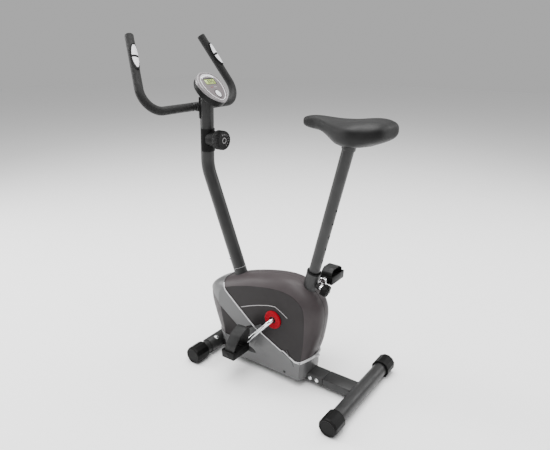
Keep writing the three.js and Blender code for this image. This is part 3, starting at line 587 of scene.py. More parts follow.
# weld bead where the stem meets the tube
weld = bmesh.new()
bead = [(FOOT_X - 24.2, -RAIL_HALF - 1, 22), (FOOT_X - 24.6, -RAIL_HALF - 1, 42),
        (FOOT_X - 20.5, -RAIL_HALF + 3, 47.5), (FOOT_X - 20.5, RAIL_HALF - 3, 47.5),
        (FOOT_X - 24.6, RAIL_HALF + 1, 42), (FOOT_X - 24.2, RAIL_HALF + 1, 22)]
sweep(weld, rounded_ends(stations(rounded_route(bead, 3)), 1.8), circle_ring(1.8, 12))
make_piece("stem_weld", weld, finishes["black_steel"], "base")
print("rear foot and its weld done")

# %% [markdown]
# An end cap is one twelve-sided ring swept along the tube, growing at the mouth and shrinking at
# the end, so that its lip, wall and dished end come out of one list of stations.

# %% End caps
def end_cap(name, node, side):
    low, high = box_mm(node)
    x, z = (low[0] + high[0]) / 2, FOOT_Z
    corner = FOOT_Z / math.cos(math.pi / 12)
    mouth, end = (low[1], high[1]) if side > 0 else (high[1], low[1])
    bm = bmesh.new()

    def ring(bm_, place):
        made = bmesh.ops.create_circle(bm_, cap_ends=False, segments=12, radius=corner * MM,
                                       matrix=place @ Matrix.Rotation(math.radians(15), 4, "Z"))
        return list({e for v in made["verts"] for e in v.link_edges})

    # stations along the cap: (distance from the mouth, size)
    length = abs(end - mouth)
    profile = [(5, 0.80), (0.2, 0.80), (0, 0.82), (0, 0.965), (1.6, 1.0), (length * 0.5, 1.0),
               (length - 7, 1.0), (length - 2.2, 0.955), (length, 0.87), (length, 0.8), (length - 1.6, 0.74),
               (length - 1.6, 0.02)]
    base = facing(P(x, mouth, z), (0, side, 0), across=(1, 0, 0))
    places = [base @ Matrix.Translation((0, 0, d * MM)) @ Matrix.Diagonal((s, s, 1, 1)) for d, s in profile]
    sweep(bm, places, ring)
    tidy(bm)
    long_edges = [e for e in bm.edges if abs((e.verts[0].co - e.verts[1].co).normalized().y) > 0.98
                  and e.calc_length() > 0.01]
    bmesh.ops.bevel(bm, geom=long_edges, offset=0.7 * MM, offset_type="OFFSET", segments=2, profile=0.5,
                    affect="EDGES", material=-1)
    make_piece(name, bm, finishes["black_plastic"], "base", [node], crisp=7)


for side_name, side in SIDES:
    end_cap(f"front_cap_{side_name}_shell", f"front_cap_{side_name}", side)
    end_cap(f"rear_cap_{side_name}_shell", f"rear_cap_{side_name}", side)
print("feet done")

# %% [markdown]
# The main frame is one weldment: a flat rail along the floor, a saddle that wraps the front cross
# tube, and two round tubes that rise out of the casing. All of its visible tubes are rebuilt
# smooth; the ends are bevelled as a saw and a deburring wheel leave them.

# %% Main frame tubes
POST_R = 24
STUB_FOOT, STUB_TOP = Vector((-90, 0, 45)), Vector((-210, 0, 361))
STUB_AXIS = (STUB_TOP - STUB_FOOT).normalized()
SEAT_FOOT_X, SEAT_LEAN = 6.1, math.radians(14)
SEAT_AXIS = Vector((math.sin(SEAT_LEAN), 0, math.cos(SEAT_LEAN)))
SEAT_OUT = Vector((math.cos(SEAT_LEAN), 0, -math.sin(SEAT_LEAN)))
SLEEVE_TOP = 438
PIN_AT = 397


def on_seat_axis(along, out=0.0, y=0.0):
    return Vector((SEAT_FOOT_X, y, 0)) + SEAT_AXIS * along + SEAT_OUT * out


weldment = bmesh.new()
rail_block(weldment, -285, RAIL_END)


def round_tube(bm, start, end, radius, sides=TUBE_SIDES):
    route = [start, start + (end - start) * 0.5, end - (end - start).normalized(), end]
    places = stations(route)
    places[-1] = places[-1] @ Matrix.Diagonal((1 - 0.8 / radius, 1 - 0.8 / radius, 1, 1))
    sweep(bm, places, circle_ring(radius, sides))


round_tube(weldment, STUB_FOOT, STUB_TOP, POST_R)
round_tube(weldment, on_seat_axis(60), on_seat_axis(SLEEVE_TOP), POST_R)
# welded nut of the pull pin, on the rear of the seat sleeve
turned(weldment, P(*on_seat_axis(PIN_AT, 22)), SEAT_OUT,
       [(0, 0), (9, 0), (9, 12.5), (8, 14), (0, 14)], 6)
make_piece("frame_weldment", weldment, finishes["black_steel"], "base", ["main_frame"])
print("frame tubes done")

# %% [markdown]
# A bent plate cradles the front cross tube. An arc of points is extruded to a strip, thickened
# with solidify, and its rims are bevelled as a pressed sheet's are.

# %% Saddle plate round the front cross tube
SADDLE_HALF = 92
WRAP_R, WRAP_THICK, WRAP_STEPS = 28.5, 3.0, 40
wrap = bmesh.new()
start_angle, end_angle = math.radians(-82), math.radians(150)
arc = [start_angle + (end_angle - start_angle) * i / WRAP_STEPS for i in range(WRAP_STEPS + 1)]
strip = [wrap.verts.new(P(-FOOT_X + WRAP_R * math.cos(a), -SADDLE_HALF, FOOT_Z + WRAP_R * math.sin(a)))
         for a in arc]
strip_edges = [wrap.edges.new(pair) for pair in zip(strip, strip[1:])]
grown = bmesh.ops.extrude_edge_only(wrap, edges=strip_edges)["geom"]
bmesh.ops.translate(wrap, vec=(0, 2 * SADDLE_HALF * MM, 0),
                    verts=[g for g in grown if isinstance(g, bmesh.types.BMVert)])
bmesh.ops.recalc_face_normals(wrap, faces=wrap.faces)
bmesh.ops.solidify(wrap, geom=wrap.faces[:], thickness=WRAP_THICK * MM)
bmesh.ops.recalc_face_normals(wrap, faces=wrap.faces)
rims = [e for e in wrap.edges if e.is_manifold and e.calc_face_angle(0) > math.radians(60)]
bmesh.ops.bevel(wrap, geom=rims, offset=0.8 * MM, offset_type="OFFSET", segments=2, profile=0.5,
                affect="EDGES", material=-1)
make_piece("front_saddle_plate", wrap, finishes["black_steel"], "base")
print("front plate done")

# %% [markdown]
# Plated dome nuts and bolts hold the feet. Each is a short profile spun round its axis, with a
# washer below a quarter circle.

# %% Dome nuts and bolts
def dome(name, at, out, radius, height, nodes, washer=True):
    bm = bmesh.new()
    profile = [(0, -3), (radius * 0.62, -3), (radius * 0.62, 0)]
    if washer:
        profile += [(radius * 1.12, 0), (radius * 1.12, 1.0), (radius * 0.95, 1.4)]
    profile += [(radius * 0.92, 2.2)]
    profile += [(radius * 0.92 * math.cos(a), 2.2 + (height - 2.2) * math.sin(a))
                for a in [math.pi / 2 * k / 8 for k in range(1, 8)]] + [(0, height)]
    turned(bm, at, out, profile, 32)
    make_piece(name, bm, finishes["chrome"], "base", nodes)


nut_lean = math.radians(62)
nut_out = Vector((math.cos(nut_lean), 0, math.sin(nut_lean)))
for side_name, side in SIDES:
    dome(f"front_dome_nut_{side_name}", P(*(Vector((-FOOT_X, side * 54, FOOT_Z)) + nut_out * 28.7)), nut_out,
         8.6, 6.3, [f"front_nut_{side_name}"])
for number, x in ((1, 126), (2, 153)):
    for side_name, side in SIDES:
        dome(f"rail_bolt_{number}_{side_name}", P(x, side * (RAIL_HALF + 0.2), 31), (0, side, 0), 6.4, 4.8,
             [f"rail_bolt_{number}"] if side < 0 else [])
print("frame done")

# %% [markdown]
# The casing is a pair of moulded half shells. Its outline on the middle seam is larger than the
# outline of the flat side panel, and the crown between them is steep at the panel and nearly flat
# at the seam. So each half is made by extruding the seam outline outwards ring by ring, with
# every ring moved part of the way to the panel outline. The crease at the panel stays crisp.

# %% Casing outlines
SEAM_LINE = [(-258, 33), (-290, 112), (-328, 228), (-306, 290), (-187, 345), (-46, 383), (56, 387),
             (128, 349), (160, 285), (146, 176), (119, 92), (112, 33)]
PANEL_LINE = [(-212, 33), (-234, 108), (-256, 230), (-243, 284), (-171, 318), (-41, 348), (48, 350),
              (98, 325), (114, 282), (113, 176), (102, 90), (99, 33)]
CROWN_POWER = 3.3
CASE_MIDDLE = Vector((-70, 195))
OUTLINE_POINTS = 96


def through(points, count):
    """A smooth line through key points (Catmull-Rom), sampled evenly by parameter."""
    pts = [Vector(p) for p in points]
    out = []
    for i in range(count + 1):
        t = i / count * (len(pts) - 1)
        k = min(int(t), len(pts) - 2)
        u = t - k
        a, b, c, d = pts[max(k - 1, 0)], pts[k], pts[k + 1], pts[min(k + 2, len(pts) - 1)]
        out.append(0.5 * (2 * b + (c - a) * u + (2 * a - 5 * b + 4 * c - d) * u * u
                          + (3 * b - a - 3 * c + d) * u ** 3))
    return out


seam_points = through(SEAM_LINE, OUTLINE_POINTS)
panel_points = through(PANEL_LINE, OUTLINE_POINTS)


def case_ring(y, grow=0.0):
    """The casing's outline at a distance y from the middle plane (bike millimetres)."""
    toward_seam = 1 - min(abs(y) / CASE_HALF, 1) ** CROWN_POWER
    ring = []
    for on_seam, on_panel in zip(seam_points, panel_points):
        p = on_panel.lerp(on_seam, toward_seam)
        away = p - CASE_MIDDLE
        ring.append(p + away * (grow / away.length))
    return ring


def case_half(side, grow=0.0, seam_gap=0.3):
    """The outer skin of one half as an open bmesh, from the seam out to the flat panel."""
    levels = [seam_gap, seam_gap + 0.9] + [CASE_HALF * math.sin(math.pi / 2 * k / 16) for k in range(1, 17)]
    bm = bmesh.new()
    ring = case_ring(levels[0], grow - 0.9)
    verts = [bm.verts.new(P(p.x, side * levels[0], p.y)) for p in ring]
    edges = [bm.edges.new(pair) for pair in zip(verts, verts[1:] + verts[:1])]
    for level in levels[1:]:
        grown = bmesh.ops.extrude_edge_only(bm, edges=edges)["geom"]
        verts = [g for g in grown if isinstance(g, bmesh.types.BMVert)]
        edges = [g for g in grown if isinstance(g, bmesh.types.BMEdge)]
        out = side * (level + (grow if level == CASE_HALF else 0))
        # extruded vertices keep the order of the ring they came from
        for vert, p in zip(verts, case_ring(level, grow)):
            vert.co = P(p.x, out, p.y)
    return bm, verts, edges


print("casing outline:", len(seam_points), "points on the seam and", len(panel_points), "round the panel")

# %% [markdown]
# The silver-grey base wraps the lower half of the shells and stands 3 mm proud of them. Its upper
# edge runs from the front of the post down to the crank and back up behind it. A skin grown from
# the same rings is cut along that line, and what is left is thickened inwards.

# %% Cover outline
COVER_LINE = [(-345, 283), (-290, 243), (-85, 101), (-350, 101), (-350, 0), (190, 0), (190, 118), (121, 108),
              (82, 96), (25, 122), (-94, 178), (-164, 234), (-222, 282), (-243, 308), (-262, 350), (-345, 350)]


def inside_cover(x, z):
    found = False
    for (x0, z0), (x1, z1) in zip(COVER_LINE, COVER_LINE[1:] + COVER_LINE[:1]):
        if (z0 > z) != (z1 > z) and x < x0 + (z - z0) / (z1 - z0) * (x1 - x0):
            found = not found
    return found


# %% [markdown]
# The panel face is flat, but the crank passes through it and the wide disc covers the middle, so
# it is closed by insetting rings toward the crank and is left open at a small hole there.

# %% Casing shells
CRANK_AT = (-10, 235)


def close_panel(bm, verts, edges, side, out, hole=12):
    """Carries the panel's rim inwards to a round hole at the crank, in a few flat rings."""
    start = [Vector(((v.co.x / MM) - SHIFT, v.co.z / MM)) for v in verts]
    middle = Vector(CRANK_AT)
    for share in (0.03, 0.2, 0.5, 0.8, 1.0):
        grown = bmesh.ops.extrude_edge_only(bm, edges=edges)["geom"]
        verts = [g for g in grown if isinstance(g, bmesh.types.BMVert)]
        edges = [g for g in grown if isinstance(g, bmesh.types.BMEdge)]
        for vert, p in zip(verts, start):
            target = middle + (p - middle).normalized() * hole
            q = p.lerp(target, share)
            vert.co = P(q.x, side * out, q.y)


def casing_shell(side_name, side):
    bm, verts, edges = case_half(side)
    close_panel(bm, verts, edges, side, CASE_HALF)
    bmesh.ops.recalc_face_normals(bm, faces=bm.faces)
    tidy(bm)
    bmesh.ops.solidify(bm, geom=bm.faces[:], thickness=2.0 * MM)
    make_piece(f"casing_shell_{side_name}", bm, finishes["casing_brown"], "base", [f"casing_{side_name}"],
               crisp=24)


for side_name, side in SIDES:
    casing_shell(side_name, side)
print("casing shells done")

# %% [markdown]
# The cover skin is cut with planes. Every straight run of the outline is one plane through the
# line, square to the side, so bisecting the skin with each of them puts real edges along the
# border; faces whose middle lies outside the outline are then deleted.

# %% Cover shells
COVER_OUT, COVER_IN = 3.2, 0.6


def cover_shell(side_name, side):
    bm, verts, edges = case_half(side, grow=COVER_OUT)
    close_panel(bm, verts, edges, side, CASE_HALF + COVER_OUT)
    tidy(bm)
    for (x0, z0), (x1, z1) in zip(COVER_LINE, COVER_LINE[1:] + COVER_LINE[:1]):
        normal = Vector((z1 - z0, 0, -(x1 - x0))).normalized()
        low = min(x0, x1) - 6, min(z0, z1) - 6
        high = max(x0, x1) + 6, max(z0, z1) + 6
        near = [f for f in bm.faces
                if any(low[0] <= v.co.x / MM - SHIFT <= high[0] and low[1] <= v.co.z / MM <= high[1]
                       for v in f.verts)]
        geom = near + list({e for f in near for e in f.edges}) + list({v for f in near for v in f.verts})
        bmesh.ops.bisect_plane(bm, geom=geom, dist=1e-6, plane_co=P(x0, 0, z0), plane_no=normal)
    outside = [f for f in bm.faces
               if not inside_cover(f.calc_center_median().x / MM - SHIFT, f.calc_center_median().z / MM)]
    bmesh.ops.delete(bm, geom=outside, context="FACES")
    bmesh.ops.recalc_face_normals(bm, faces=bm.faces)
    bmesh.ops.solidify(bm, geom=bm.faces[:], thickness=(COVER_OUT - COVER_IN) * MM)
    make_piece(f"cover_shell_{side_name}", bm, finishes["silver_plastic"], "base", [f"silver_cover_{side_name}"],
               crisp=24)


for side_name, side in SIDES:
    cover_shell(side_name, side)
print("cover shells done")

# %% [markdown]
# Mouldings on the casing. The cover's border carries a rolled edge, whose upper run has a painted
# highlight in a bright finish, a thin printed stripe runs over the panel and breaks down behind the
# crank, and a shallow V is raised in the base. To lay a line on the crowned skin, its distance from
# the middle plane is found ring by ring.

# %% Lines laid on the skin
def inside_ring(ring, x, z):
    found = False
    for p, q in zip(ring, ring[1:] + ring[:1]):
        if (p.y > z) != (q.y > z) and x < p.x + (z - p.y) / (q.y - p.y) * (q.x - p.x):
            found = not found
    return found


def skin_y(x, z, grow):
    """How far out the skin lies over a point of the middle plane."""
    if inside_ring(case_ring(CASE_HALF, grow), x, z):
        return CASE_HALF + grow
    near, far = 0.0, CASE_HALF
    for _ in range(12):
        middle = (near + far) / 2
        if inside_ring(case_ring(middle, grow), x, z):
            near = middle
        else:
            far = middle
    return near


def laid_line(corners, grow, side, step=6):
    points = []
    for (x0, z0), (x1, z1) in zip(corners, corners[1:]):
        count = max(1, round(math.hypot(x1 - x0, z1 - z0) / step))
        for k in range(count):
            x, z = x0 + (x1 - x0) * k / count, z0 + (z1 - z0) * k / count
            points.append((x, side * skin_y(x, z, grow), z))
    x, z = corners[-1]
    points.append((x, side * skin_y(x, z, grow), z))
    return points


def bead(name, corners, grow, side, radius, finish, slot, flat=1.0):
    bm = bmesh.new()
    places = stations(laid_line(corners, grow, side), across=(0, 1, 0))
    places = [p @ Matrix.Diagonal((flat, 1, 1, 1)) for p in places]
    sweep(bm, rounded_ends(places, radius), circle_ring(radius, 12))
    return make_piece(name, bm, finish, "base")


UPPER_EDGE = [(-243, 308, 2), (-222, 282, 2.2), (-164, 234, 2.4), (-94, 178, 2.2), (25, 122, 1.6), (33, 124, 1.6),
              (82, 97, 3), (100, 98, 5), (121, 108, 5), (146, 114, 4)]
LOWER_EDGE = [(-300, 250, 1.5), (-290, 243, 1.5), (-85, 101, 1.5), (-280, 101, 1.5)]
STRIPE = [(-154, 239), (-117, 255), (-80, 269), (-32, 283), (-2, 287), (24, 274), (49, 259)]


def rolled_edge(name, corners, side, finish):
    """A rolled edge whose radius changes along the way; it is sunk so that it ends flush with the cover."""
    bm = bmesh.new()
    line, radii = [], []
    for (x0, z0, r0), (x1, z1, r1) in zip(corners, corners[1:]):
        count = max(1, round(math.hypot(x1 - x0, z1 - z0) / 5))
        for k in range(count):
            t = k / count
            x, z, r = x0 + (x1 - x0) * t, z0 + (z1 - z0) * t, r0 + (r1 - r0) * t
            line.append((x, side * (skin_y(x, z, COVER_OUT) - r + 0.35), z))
            radii.append(r)
    places = stations(line, across=(0, 1, 0))
    places = [p @ Matrix.Diagonal((r, r, 1, 1)) for p, r in zip(places, radii)]
    sweep(bm, places, circle_ring(1, 16))
    return make_piece(name, bm, finish, "base")


for side_name, side in SIDES:
    # the upper edge takes the bright painted-highlight finish; the lower edge keeps the cover's own silver
    rolled_edge(f"cover_edge_upper_{side_name}", UPPER_EDGE, side, painted_highlight_silver)
    rolled_edge(f"cover_edge_lower_{side_name}", LOWER_EDGE, side, finishes["silver_plastic"])
    bead(f"panel_stripe_{side_name}", STRIPE, 0.05, side, 1.1, pale_print, "silver_plastic", flat=0.35)
    bead(f"base_relief_{side_name}", [(-92, 112), (-40, 79), (-107, 66)], COVER_OUT - 1.6, side, 2.4,
         finishes["silver_plastic"], "silver_plastic", flat=0.85)
    plug = bmesh.new()
    turned(plug, P(41, side * (CASE_HALF + COVER_OUT - 0.4), 43), (0, side, 0),
           [(0, 0), (5, 0), (5, 0.5), (4.2, 0.9), (3.4, 0.5), (0, 0.5)], 32)
    make_piece(f"base_plug_{side_name}", plug, finishes["black_plastic"], "base")
print("casing mouldings done")

# %% [markdown]
# The crank turns in the middle of a red cover disc. The disc is turned: a rolled rim, a shallow
# dish and a lip round the black seal at the middle.

# %% Crank discs
CRANK_X, CRANK_Z = CRANK_AT
DISC_R, DISC_HOLE = 33.5, 13.0
for side_name, side in SIDES:
    bm = bmesh.new()
    profile = [(DISC_HOLE, 0), (DISC_R, 0), (DISC_R, 2.6), (DISC_R - 0.7, 4.2), (DISC_R - 2.2, 5.2), (DISC_R - 5, 5.5),
               (24, 4.9), (19, 4.2), (16.2, 4.2), (15.4, 4.8), (14.4, 5.2), (DISC_HOLE, 4.9)]
    turned(bm, P(CRANK_X, side * (CASE_HALF + 0.6), CRANK_Z), (0, side, 0), profile, 64)
    make_piece(f"red_disc_{side_name}", bm, finishes["red_plastic"], "base", [f"crank_disc_{side_name}"])
    bm = bmesh.new()
    profile = [(8.6, 0), (12.6, 0), (12.6, 2.6), (11.6, 3.4), (9.6, 2.6), (8.6, 1.6)]
    turned(bm, P(CRANK_X, side * (CASE_HALF + 0.8), CRANK_Z), (0, side, 0), profile, 40)
    make_piece(f"crank_seal_{side_name}", bm, finishes["rubber"], "base")
print("crank discs and seals done")

# %% [markdown]
# The crank is one forged bar bent twice each side, plated, with a flat eye forged at each end.

# %% Crank bar
DROP_X, DROP_Z = 111, 122
ARM_Y, CRANK_R = 84, 7.5
bm = bmesh.new()
corners = [(CRANK_X - DROP_X, -ARM_Y, CRANK_Z - DROP_Z), (CRANK_X, -ARM_Y, CRANK_Z), (CRANK_X, ARM_Y, CRANK_Z),
           (CRANK_X + DROP_X, ARM_Y, CRANK_Z + DROP_Z)]
route = rounded_route(corners, 20)
# the bar stops short of the pedal spindle, inside the eye
ends = [Vector(corners[0]), Vector(corners[-1])]
route[0] = ends[0] + (Vector(route[1]) - ends[0]).normalized() * 9
route[-1] = ends[1] + (Vector(route[-2]) - ends[1]).normalized() * 9
sweep(bm, stations(route), circle_ring(CRANK_R, 32))
for side in (LEFT, RIGHT):
    eye = [(6.8, 0.8), (7.6, 0), (12.6, 0), (14, 1.3), (14, 13.7), (12.6, 15), (7.6, 15), (6.8, 14.2)]
    turned(bm, P(CRANK_X + side * DROP_X, side * (ARM_Y - 7.5), CRANK_Z + side * DROP_Z), (0, side, 0), eye, 40)
make_piece("crank_bar", bm, finishes["chrome"], "crankset", ["crank"])
print("crank done")

# %% [markdown]
# A pedal is a moulded black cage. It starts as a bevelled block; the top and bottom are inset and
# pushed in to leave a tray with a raised rim, and ribs are laid across the tray for grip. The
# spindle runs through it and ends in a small cap.

# %% Pedals
PEDAL_IN, PEDAL_OUT, PEDAL_HALF, PEDAL_THICK = 97, 185, 28, 26
STRAP_WIDE, STRAP_LEAN = 43, 0.2
# distance out and height above the spindle; the left strap stands open, the right one has sunk
STRAP_LINE = {"left": [(179, 7.5), (177, 38), (158, 72), (128, 93), (106, 88), (103, 60), (104, 7.5)],
              "right": [(179, 7.5), (178, 24), (160, 36), (122, 37), (105, 26), (104, 7.5)]}


def pedal(side_name, side):
    x, z = CRANK_X + side * DROP_X, CRANK_Z + side * DROP_Z
    body = f"{side_name}_pedal"
    near, far = sorted((side * PEDAL_IN, side * PEDAL_OUT))
    bm = bmesh.new()
    a, b = P(x - PEDAL_HALF, near, z - PEDAL_THICK / 2 - 3), P(x + PEDAL_HALF, far, z + PEDAL_THICK / 2)
    bmesh.ops.create_cube(bm, size=1, matrix=Matrix.Translation((a + b) / 2) @ Matrix.Diagonal((*(b - a), 1)))
    # the block narrows a little downwards, and its outer corners are cut
    low = [v for v in bm.verts if v.co.z < (a.z + b.z) / 2]
    bmesh.ops.scale(bm, vec=(0.95, 0.975, 1), verts=low, space=Matrix.Translation(-(a + b) / 2))
    uprights = [e for e in bm.edges if abs((e.verts[0].co - e.verts[1].co).normalized().z) > 0.9]
    bmesh.ops.bevel(bm, geom=uprights, offset=2 * MM, offset_type="OFFSET", segments=3, profile=0.5,
                    affect="EDGES", material=-1)
    for up in (1, -1):
        deck = [f for f in bm.faces if f.normal.z * up > 0.98 and f.calc_area() > 1e-3]
        bmesh.ops.inset_region(bm, faces=deck, thickness=3.2 * MM, depth=0)
        bmesh.ops.inset_region(bm, faces=deck, thickness=1.2 * MM, depth=-5 * MM)
    rims = [e for e in bm.edges if e.is_manifold and e.calc_face_angle(0) > math.radians(50)]
    bmesh.ops.bevel(bm, geom=rims, offset=0.9 * MM, offset_type="OFFSET", segments=2, profile=0.5,
                    affect="EDGES", material=-1)
    for k in (-2, -1, 1, 2):
        for up in (1, -1):
            middle = z + up * 8.6
            rounded_block(bm, (x - 22, side * 141 + k * 15 - 1.6, middle - 3), (x + 22, side * 141 + k * 15 + 1.6,
                                                                              middle + 2), 0.8, 2)
    turned(bm, P(x, side * PEDAL_OUT, z), (0, side, 0), [(0, -3), (8, -3), (8, -0.6), (7, 0), (0, 0)], 32)
    make_piece(f"pedal_cage_{side_name}", bm, finishes["black_plastic"], body, [f"pedal_{side_name}"])

    strap = bmesh.new()
    corners = [(x, side * out, z + up) for out, up in STRAP_LINE[side_name]]

    def strap_ring(bm_, place, wide=STRAP_WIDE, thick=2.8):
        made = bmesh.ops.create_grid(bm_, x_segments=1, y_segments=1, size=0.5,
                                     matrix=place @ Matrix.Diagonal((thick * MM, wide * MM, 1, 1)))
        edges = list({e for v in made["verts"] for e in v.link_edges})
        bmesh.ops.delete(bm_, geom=list({f for v in made["verts"] for f in v.link_faces}), context="FACES_ONLY")
        return edges

    # the strap is widest over the foot and narrower where it enters the cage
    bend = 24 if side < 0 else 8
    places = stations(rounded_route(corners, bend, 4), across=(0, 1, 0))
    shaped = []
    for place in places:
        rise = max(0.0, (place.translation.z / MM - z) / 90)
        back = Vector(((STRAP_LEAN * (place.translation.z / MM - z + 9) if side < 0 else 0) * MM, 0, 0))
        shaped.append(Matrix.Translation(back) @ place
                      @ Matrix.Diagonal((1, 0.88 + 0.12 * math.sin(min(rise * 2, 1) * math.pi / 2), 1, 1)))
    sweep(strap, shaped, strap_ring)
    tidy(strap)
    long_edges = [e for e in strap.edges if e.is_manifold and e.calc_face_angle(0) > math.radians(60)]
    bmesh.ops.bevel(strap, geom=long_edges, offset=0.9 * MM, offset_type="OFFSET", segments=2, profile=0.5,
                    affect="EDGES", material=-1)
    make_piece(f"toe_strap_{side_name}", strap, finishes["rubber"], body, [f"pedal_strap_{side_name}"])

    if side > 0:
        return
    # the left strap's free end, cut to a point, hangs out behind the inner side of the cage
    tail = bmesh.new()
    tip = [(x + 10, side * 99, z - 6), (x + 24, side * 96.5, z - 9), (x + 40, side * 95, z - 13),
           (x + 54, side * 94.5, z - 17)]
    places = stations(tip, across=(0, 1, 0))
    wide = (1.0, 1.0, 0.8, 0.16)
    sweep(tail, [p @ Matrix.Diagonal((0.7, 0.5 * w, 1, 1)) for p, w in zip(places, wide)], strap_ring)
    make_piece("strap_tail", tail, finishes["rubber"], body)


for side_name, side in SIDES:
    pedal(side_name, side)
print("pedals done")

# %% [markdown]
# The handlebar post is one bent tube. It drops over a spigot in the frame; where the two paints
# meet, a thin ring carries a painted highlight as a fine bright line, with a plated bolt in front of it.

# %% Handlebar post
POST_BEND, POST_TOP = (-348, 0, 724), (-339, 0, 985)
CONSOLE_AT, CONSOLE_LEAN, CONSOLE_DEPTH = (-306, 0, 1005), math.radians(46), 36
console_place = Matrix.Translation(P(*CONSOLE_AT)) @ Matrix.Rotation(CONSOLE_LEAN, 4, "Y")
post = bmesh.new()
post_start = STUB_TOP + STUB_AXIS * 0.4
sweep(post, stations(rounded_route([post_start, POST_BEND, POST_TOP], 150, 3)), circle_ring(POST_R, TUBE_SIDES))
top_plane = console_place @ Vector((0, 0, -(CONSOLE_DEPTH + 4.5) * MM))
cut_now = bmesh.ops.bisect_plane(post, geom=post.verts[:] + post.edges[:] + post.faces[:], dist=1e-7,
                                 plane_co=top_plane, plane_no=console_place.to_3x3() @ Vector((0, 0, 1)),
                                 clear_outer=True)
bmesh.ops.edgeloop_fill(post, edges=[g for g in cut_now["geom_cut"] if isinstance(g, bmesh.types.BMEdge)])
make_piece("post_tube", post, finishes["black_steel"], "base", ["handlebar_post"])

# a thin ring at the seam in the bright painted-highlight finish stands for the glint along the joint
ring = bmesh.new()
turned(ring, P(*(STUB_TOP - STUB_AXIS * 0.5)), STUB_AXIS,
       [(23.2, 0), (24.15, 0.1), (24.35, 0.5), (24.15, 0.9), (23.2, 1.0)], 64)
make_piece("post_seam_ring", ring, painted_highlight_silver, "base")

bolt_across = Vector((STUB_AXIS.z, 0, -STUB_AXIS.x))
bolt_out = (bolt_across * -0.75 + Vector((0, -0.66, 0))).normalized()
dome("post_dome_bolt", P(*(STUB_TOP + STUB_AXIS * 42 + bolt_out * (POST_R + 0.1))), bolt_out, 5.8, 4.2,
     ["post_bolt"])
print("post done")

# %% [markdown]
# Cutting holes uses a boolean on a temporary pair of objects. The result is read back as plain
# mesh, so nothing live is left behind.


# %% Carving
def carve(bm, cutters):
    made = []
    for part in (bm, cutters):
        tidy(part)
        mesh = bpy.data.meshes.new("carving")
        part.to_mesh(mesh)
        part.free()
        holder = bpy.data.objects.new("carving", mesh)
        bpy.context.scene.collection.objects.link(holder)
        made.append(holder)
    cut = made[0].modifiers.new("cut", "BOOLEAN")
    cut.operation, cut.solver, cut.object = "DIFFERENCE", "EXACT", made[1]
    evaluated = made[0].evaluated_get(bpy.context.evaluated_depsgraph_get())
    result = bmesh.new()
    result.from_mesh(evaluated.to_mesh())
    for holder in made:
        mesh = holder.data
        bpy.data.objects.remove(holder)
        bpy.data.meshes.remove(mesh)
    return result


# %% [markdown]
# The seat post slides in a plastic bushing and is drilled every 47 mm down its rear side. It and
# everything on it ride on the sliding seat; the bushing stays with the frame.

# %% Seat post, bushing and pull pin
SEAT_POST_R, HOLE_PITCH, HOLE_R = 19.05, 47, 5.2
tube = bmesh.new()
turned(tube, P(*on_seat_axis(250)), SEAT_AXIS,
       [(17.2, 0), (SEAT_POST_R, 0), (SEAT_POST_R, 635.4), (SEAT_POST_R - 0.6, 636), (17.2, 636)], TUBE_SIDES)
holes = bmesh.new()
for i in range(9):
    turned(holes, P(*on_seat_axis(PIN_AT + (i - 2) * HOLE_PITCH, 12)), SEAT_OUT,
           [(0, 0), (HOLE_R, 0), (HOLE_R, 12), (0, 12)], 24)
make_piece("seat_post_tube", carve(tube, holes), finishes["black_steel"], "seat", ["seat_post"])

bush = bmesh.new()
turned(bush, P(*on_seat_axis(SLEEVE_TOP + 0.3)), SEAT_AXIS,
       [(19.65, -30), (20.3, -30), (20.3, 0), (24.4, 0), (24.8, 0.5), (24.8, 4.4), (24.0, 5.5), (21.0, 5.7),
        (19.65, 5.2)], 64)
make_piece("seat_bushing_rim", bush, finishes["black_plastic"], "base", ["seat_bushing"])

pin = bmesh.new()
turned(pin, P(*on_seat_axis(PIN_AT, 19.6)), SEAT_OUT,
       [(0, 0), (3.8, 0), (4.8, 1.2), (4.8, 17.4), (7.8, 17.4), (8.5, 18.2), (8.5, 25.6), (7.6, 26.4),
        (4.8, 26.4), (4.8, 40.4), (0, 40.4)], 32)
make_piece("pull_pin", pin, finishes["chrome"], "pull_pin", ["seat_pin"])


def lobed_ring(radius, lobes, depth, sides=96):
    def ring(bm_, place):
        made = bmesh.ops.create_circle(bm_, cap_ends=False, segments=sides, radius=radius * MM)
        for vert in made["verts"]:
            angle = math.atan2(vert.co.y, vert.co.x)
            vert.co *= 1 + depth / radius * math.cos(lobes * angle)
        bmesh.ops.transform(bm_, matrix=place, verts=made["verts"])
        return list({e for v in made["verts"] for e in v.link_edges})
    return ring


knob = bmesh.new()
knob_base = facing(P(*on_seat_axis(PIN_AT, 46.5)), SEAT_OUT, across=SEAT_AXIS)
knob_steps = [(0, 0.86), (1.2, 0.97), (3, 1.0), (17, 1.0), (20.5, 0.95), (22.6, 0.84), (23.2, 0.72), (22.4, 0.62),
              (22.4, 0.5), (25.2, 0.44), (25.5, 0.02)]
sweep(knob, [knob_base @ Matrix.Translation((0, 0, d * MM)) @ Matrix.Diagonal((s, s, 1, 1)) for d, s in knob_steps],
      lobed_ring(19.6, 6, 2.8))
make_piece("star_knob", knob, finishes["black_plastic"], "pull_knob", ["seat_knob"])

# formed bracket under the pan: a short collar on the post and a small plate
holder = bmesh.new()
turned(holder, P(*on_seat_axis(878)), SEAT_AXIS,
       [(SEAT_POST_R + 0.4, 0), (SEAT_POST_R + 2.2, 0), (SEAT_POST_R + 2.8, 0.6), (SEAT_POST_R + 2.8, 12.5),
        (SEAT_POST_R + 0.4, 12.5)], 64)
bracket_low, bracket_high = box_mm("seat_bracket")
rounded_block(holder, (bracket_low[0] + 14, -24, bracket_high[2] - 4),
              (bracket_high[0] - 6, 24, bracket_high[2]), 1.2)
make_piece("saddle_bracket", holder, finishes["black_steel"], "seat", ["seat_bracket"])
print("seat post done")

# %% [markdown]
# The handlebar is a U of tube in foam sleeves. Each sleeve is swept from the middle clamp, round
# the bend and up to a soft closed end; the steel core between the sleeves stays as it is.

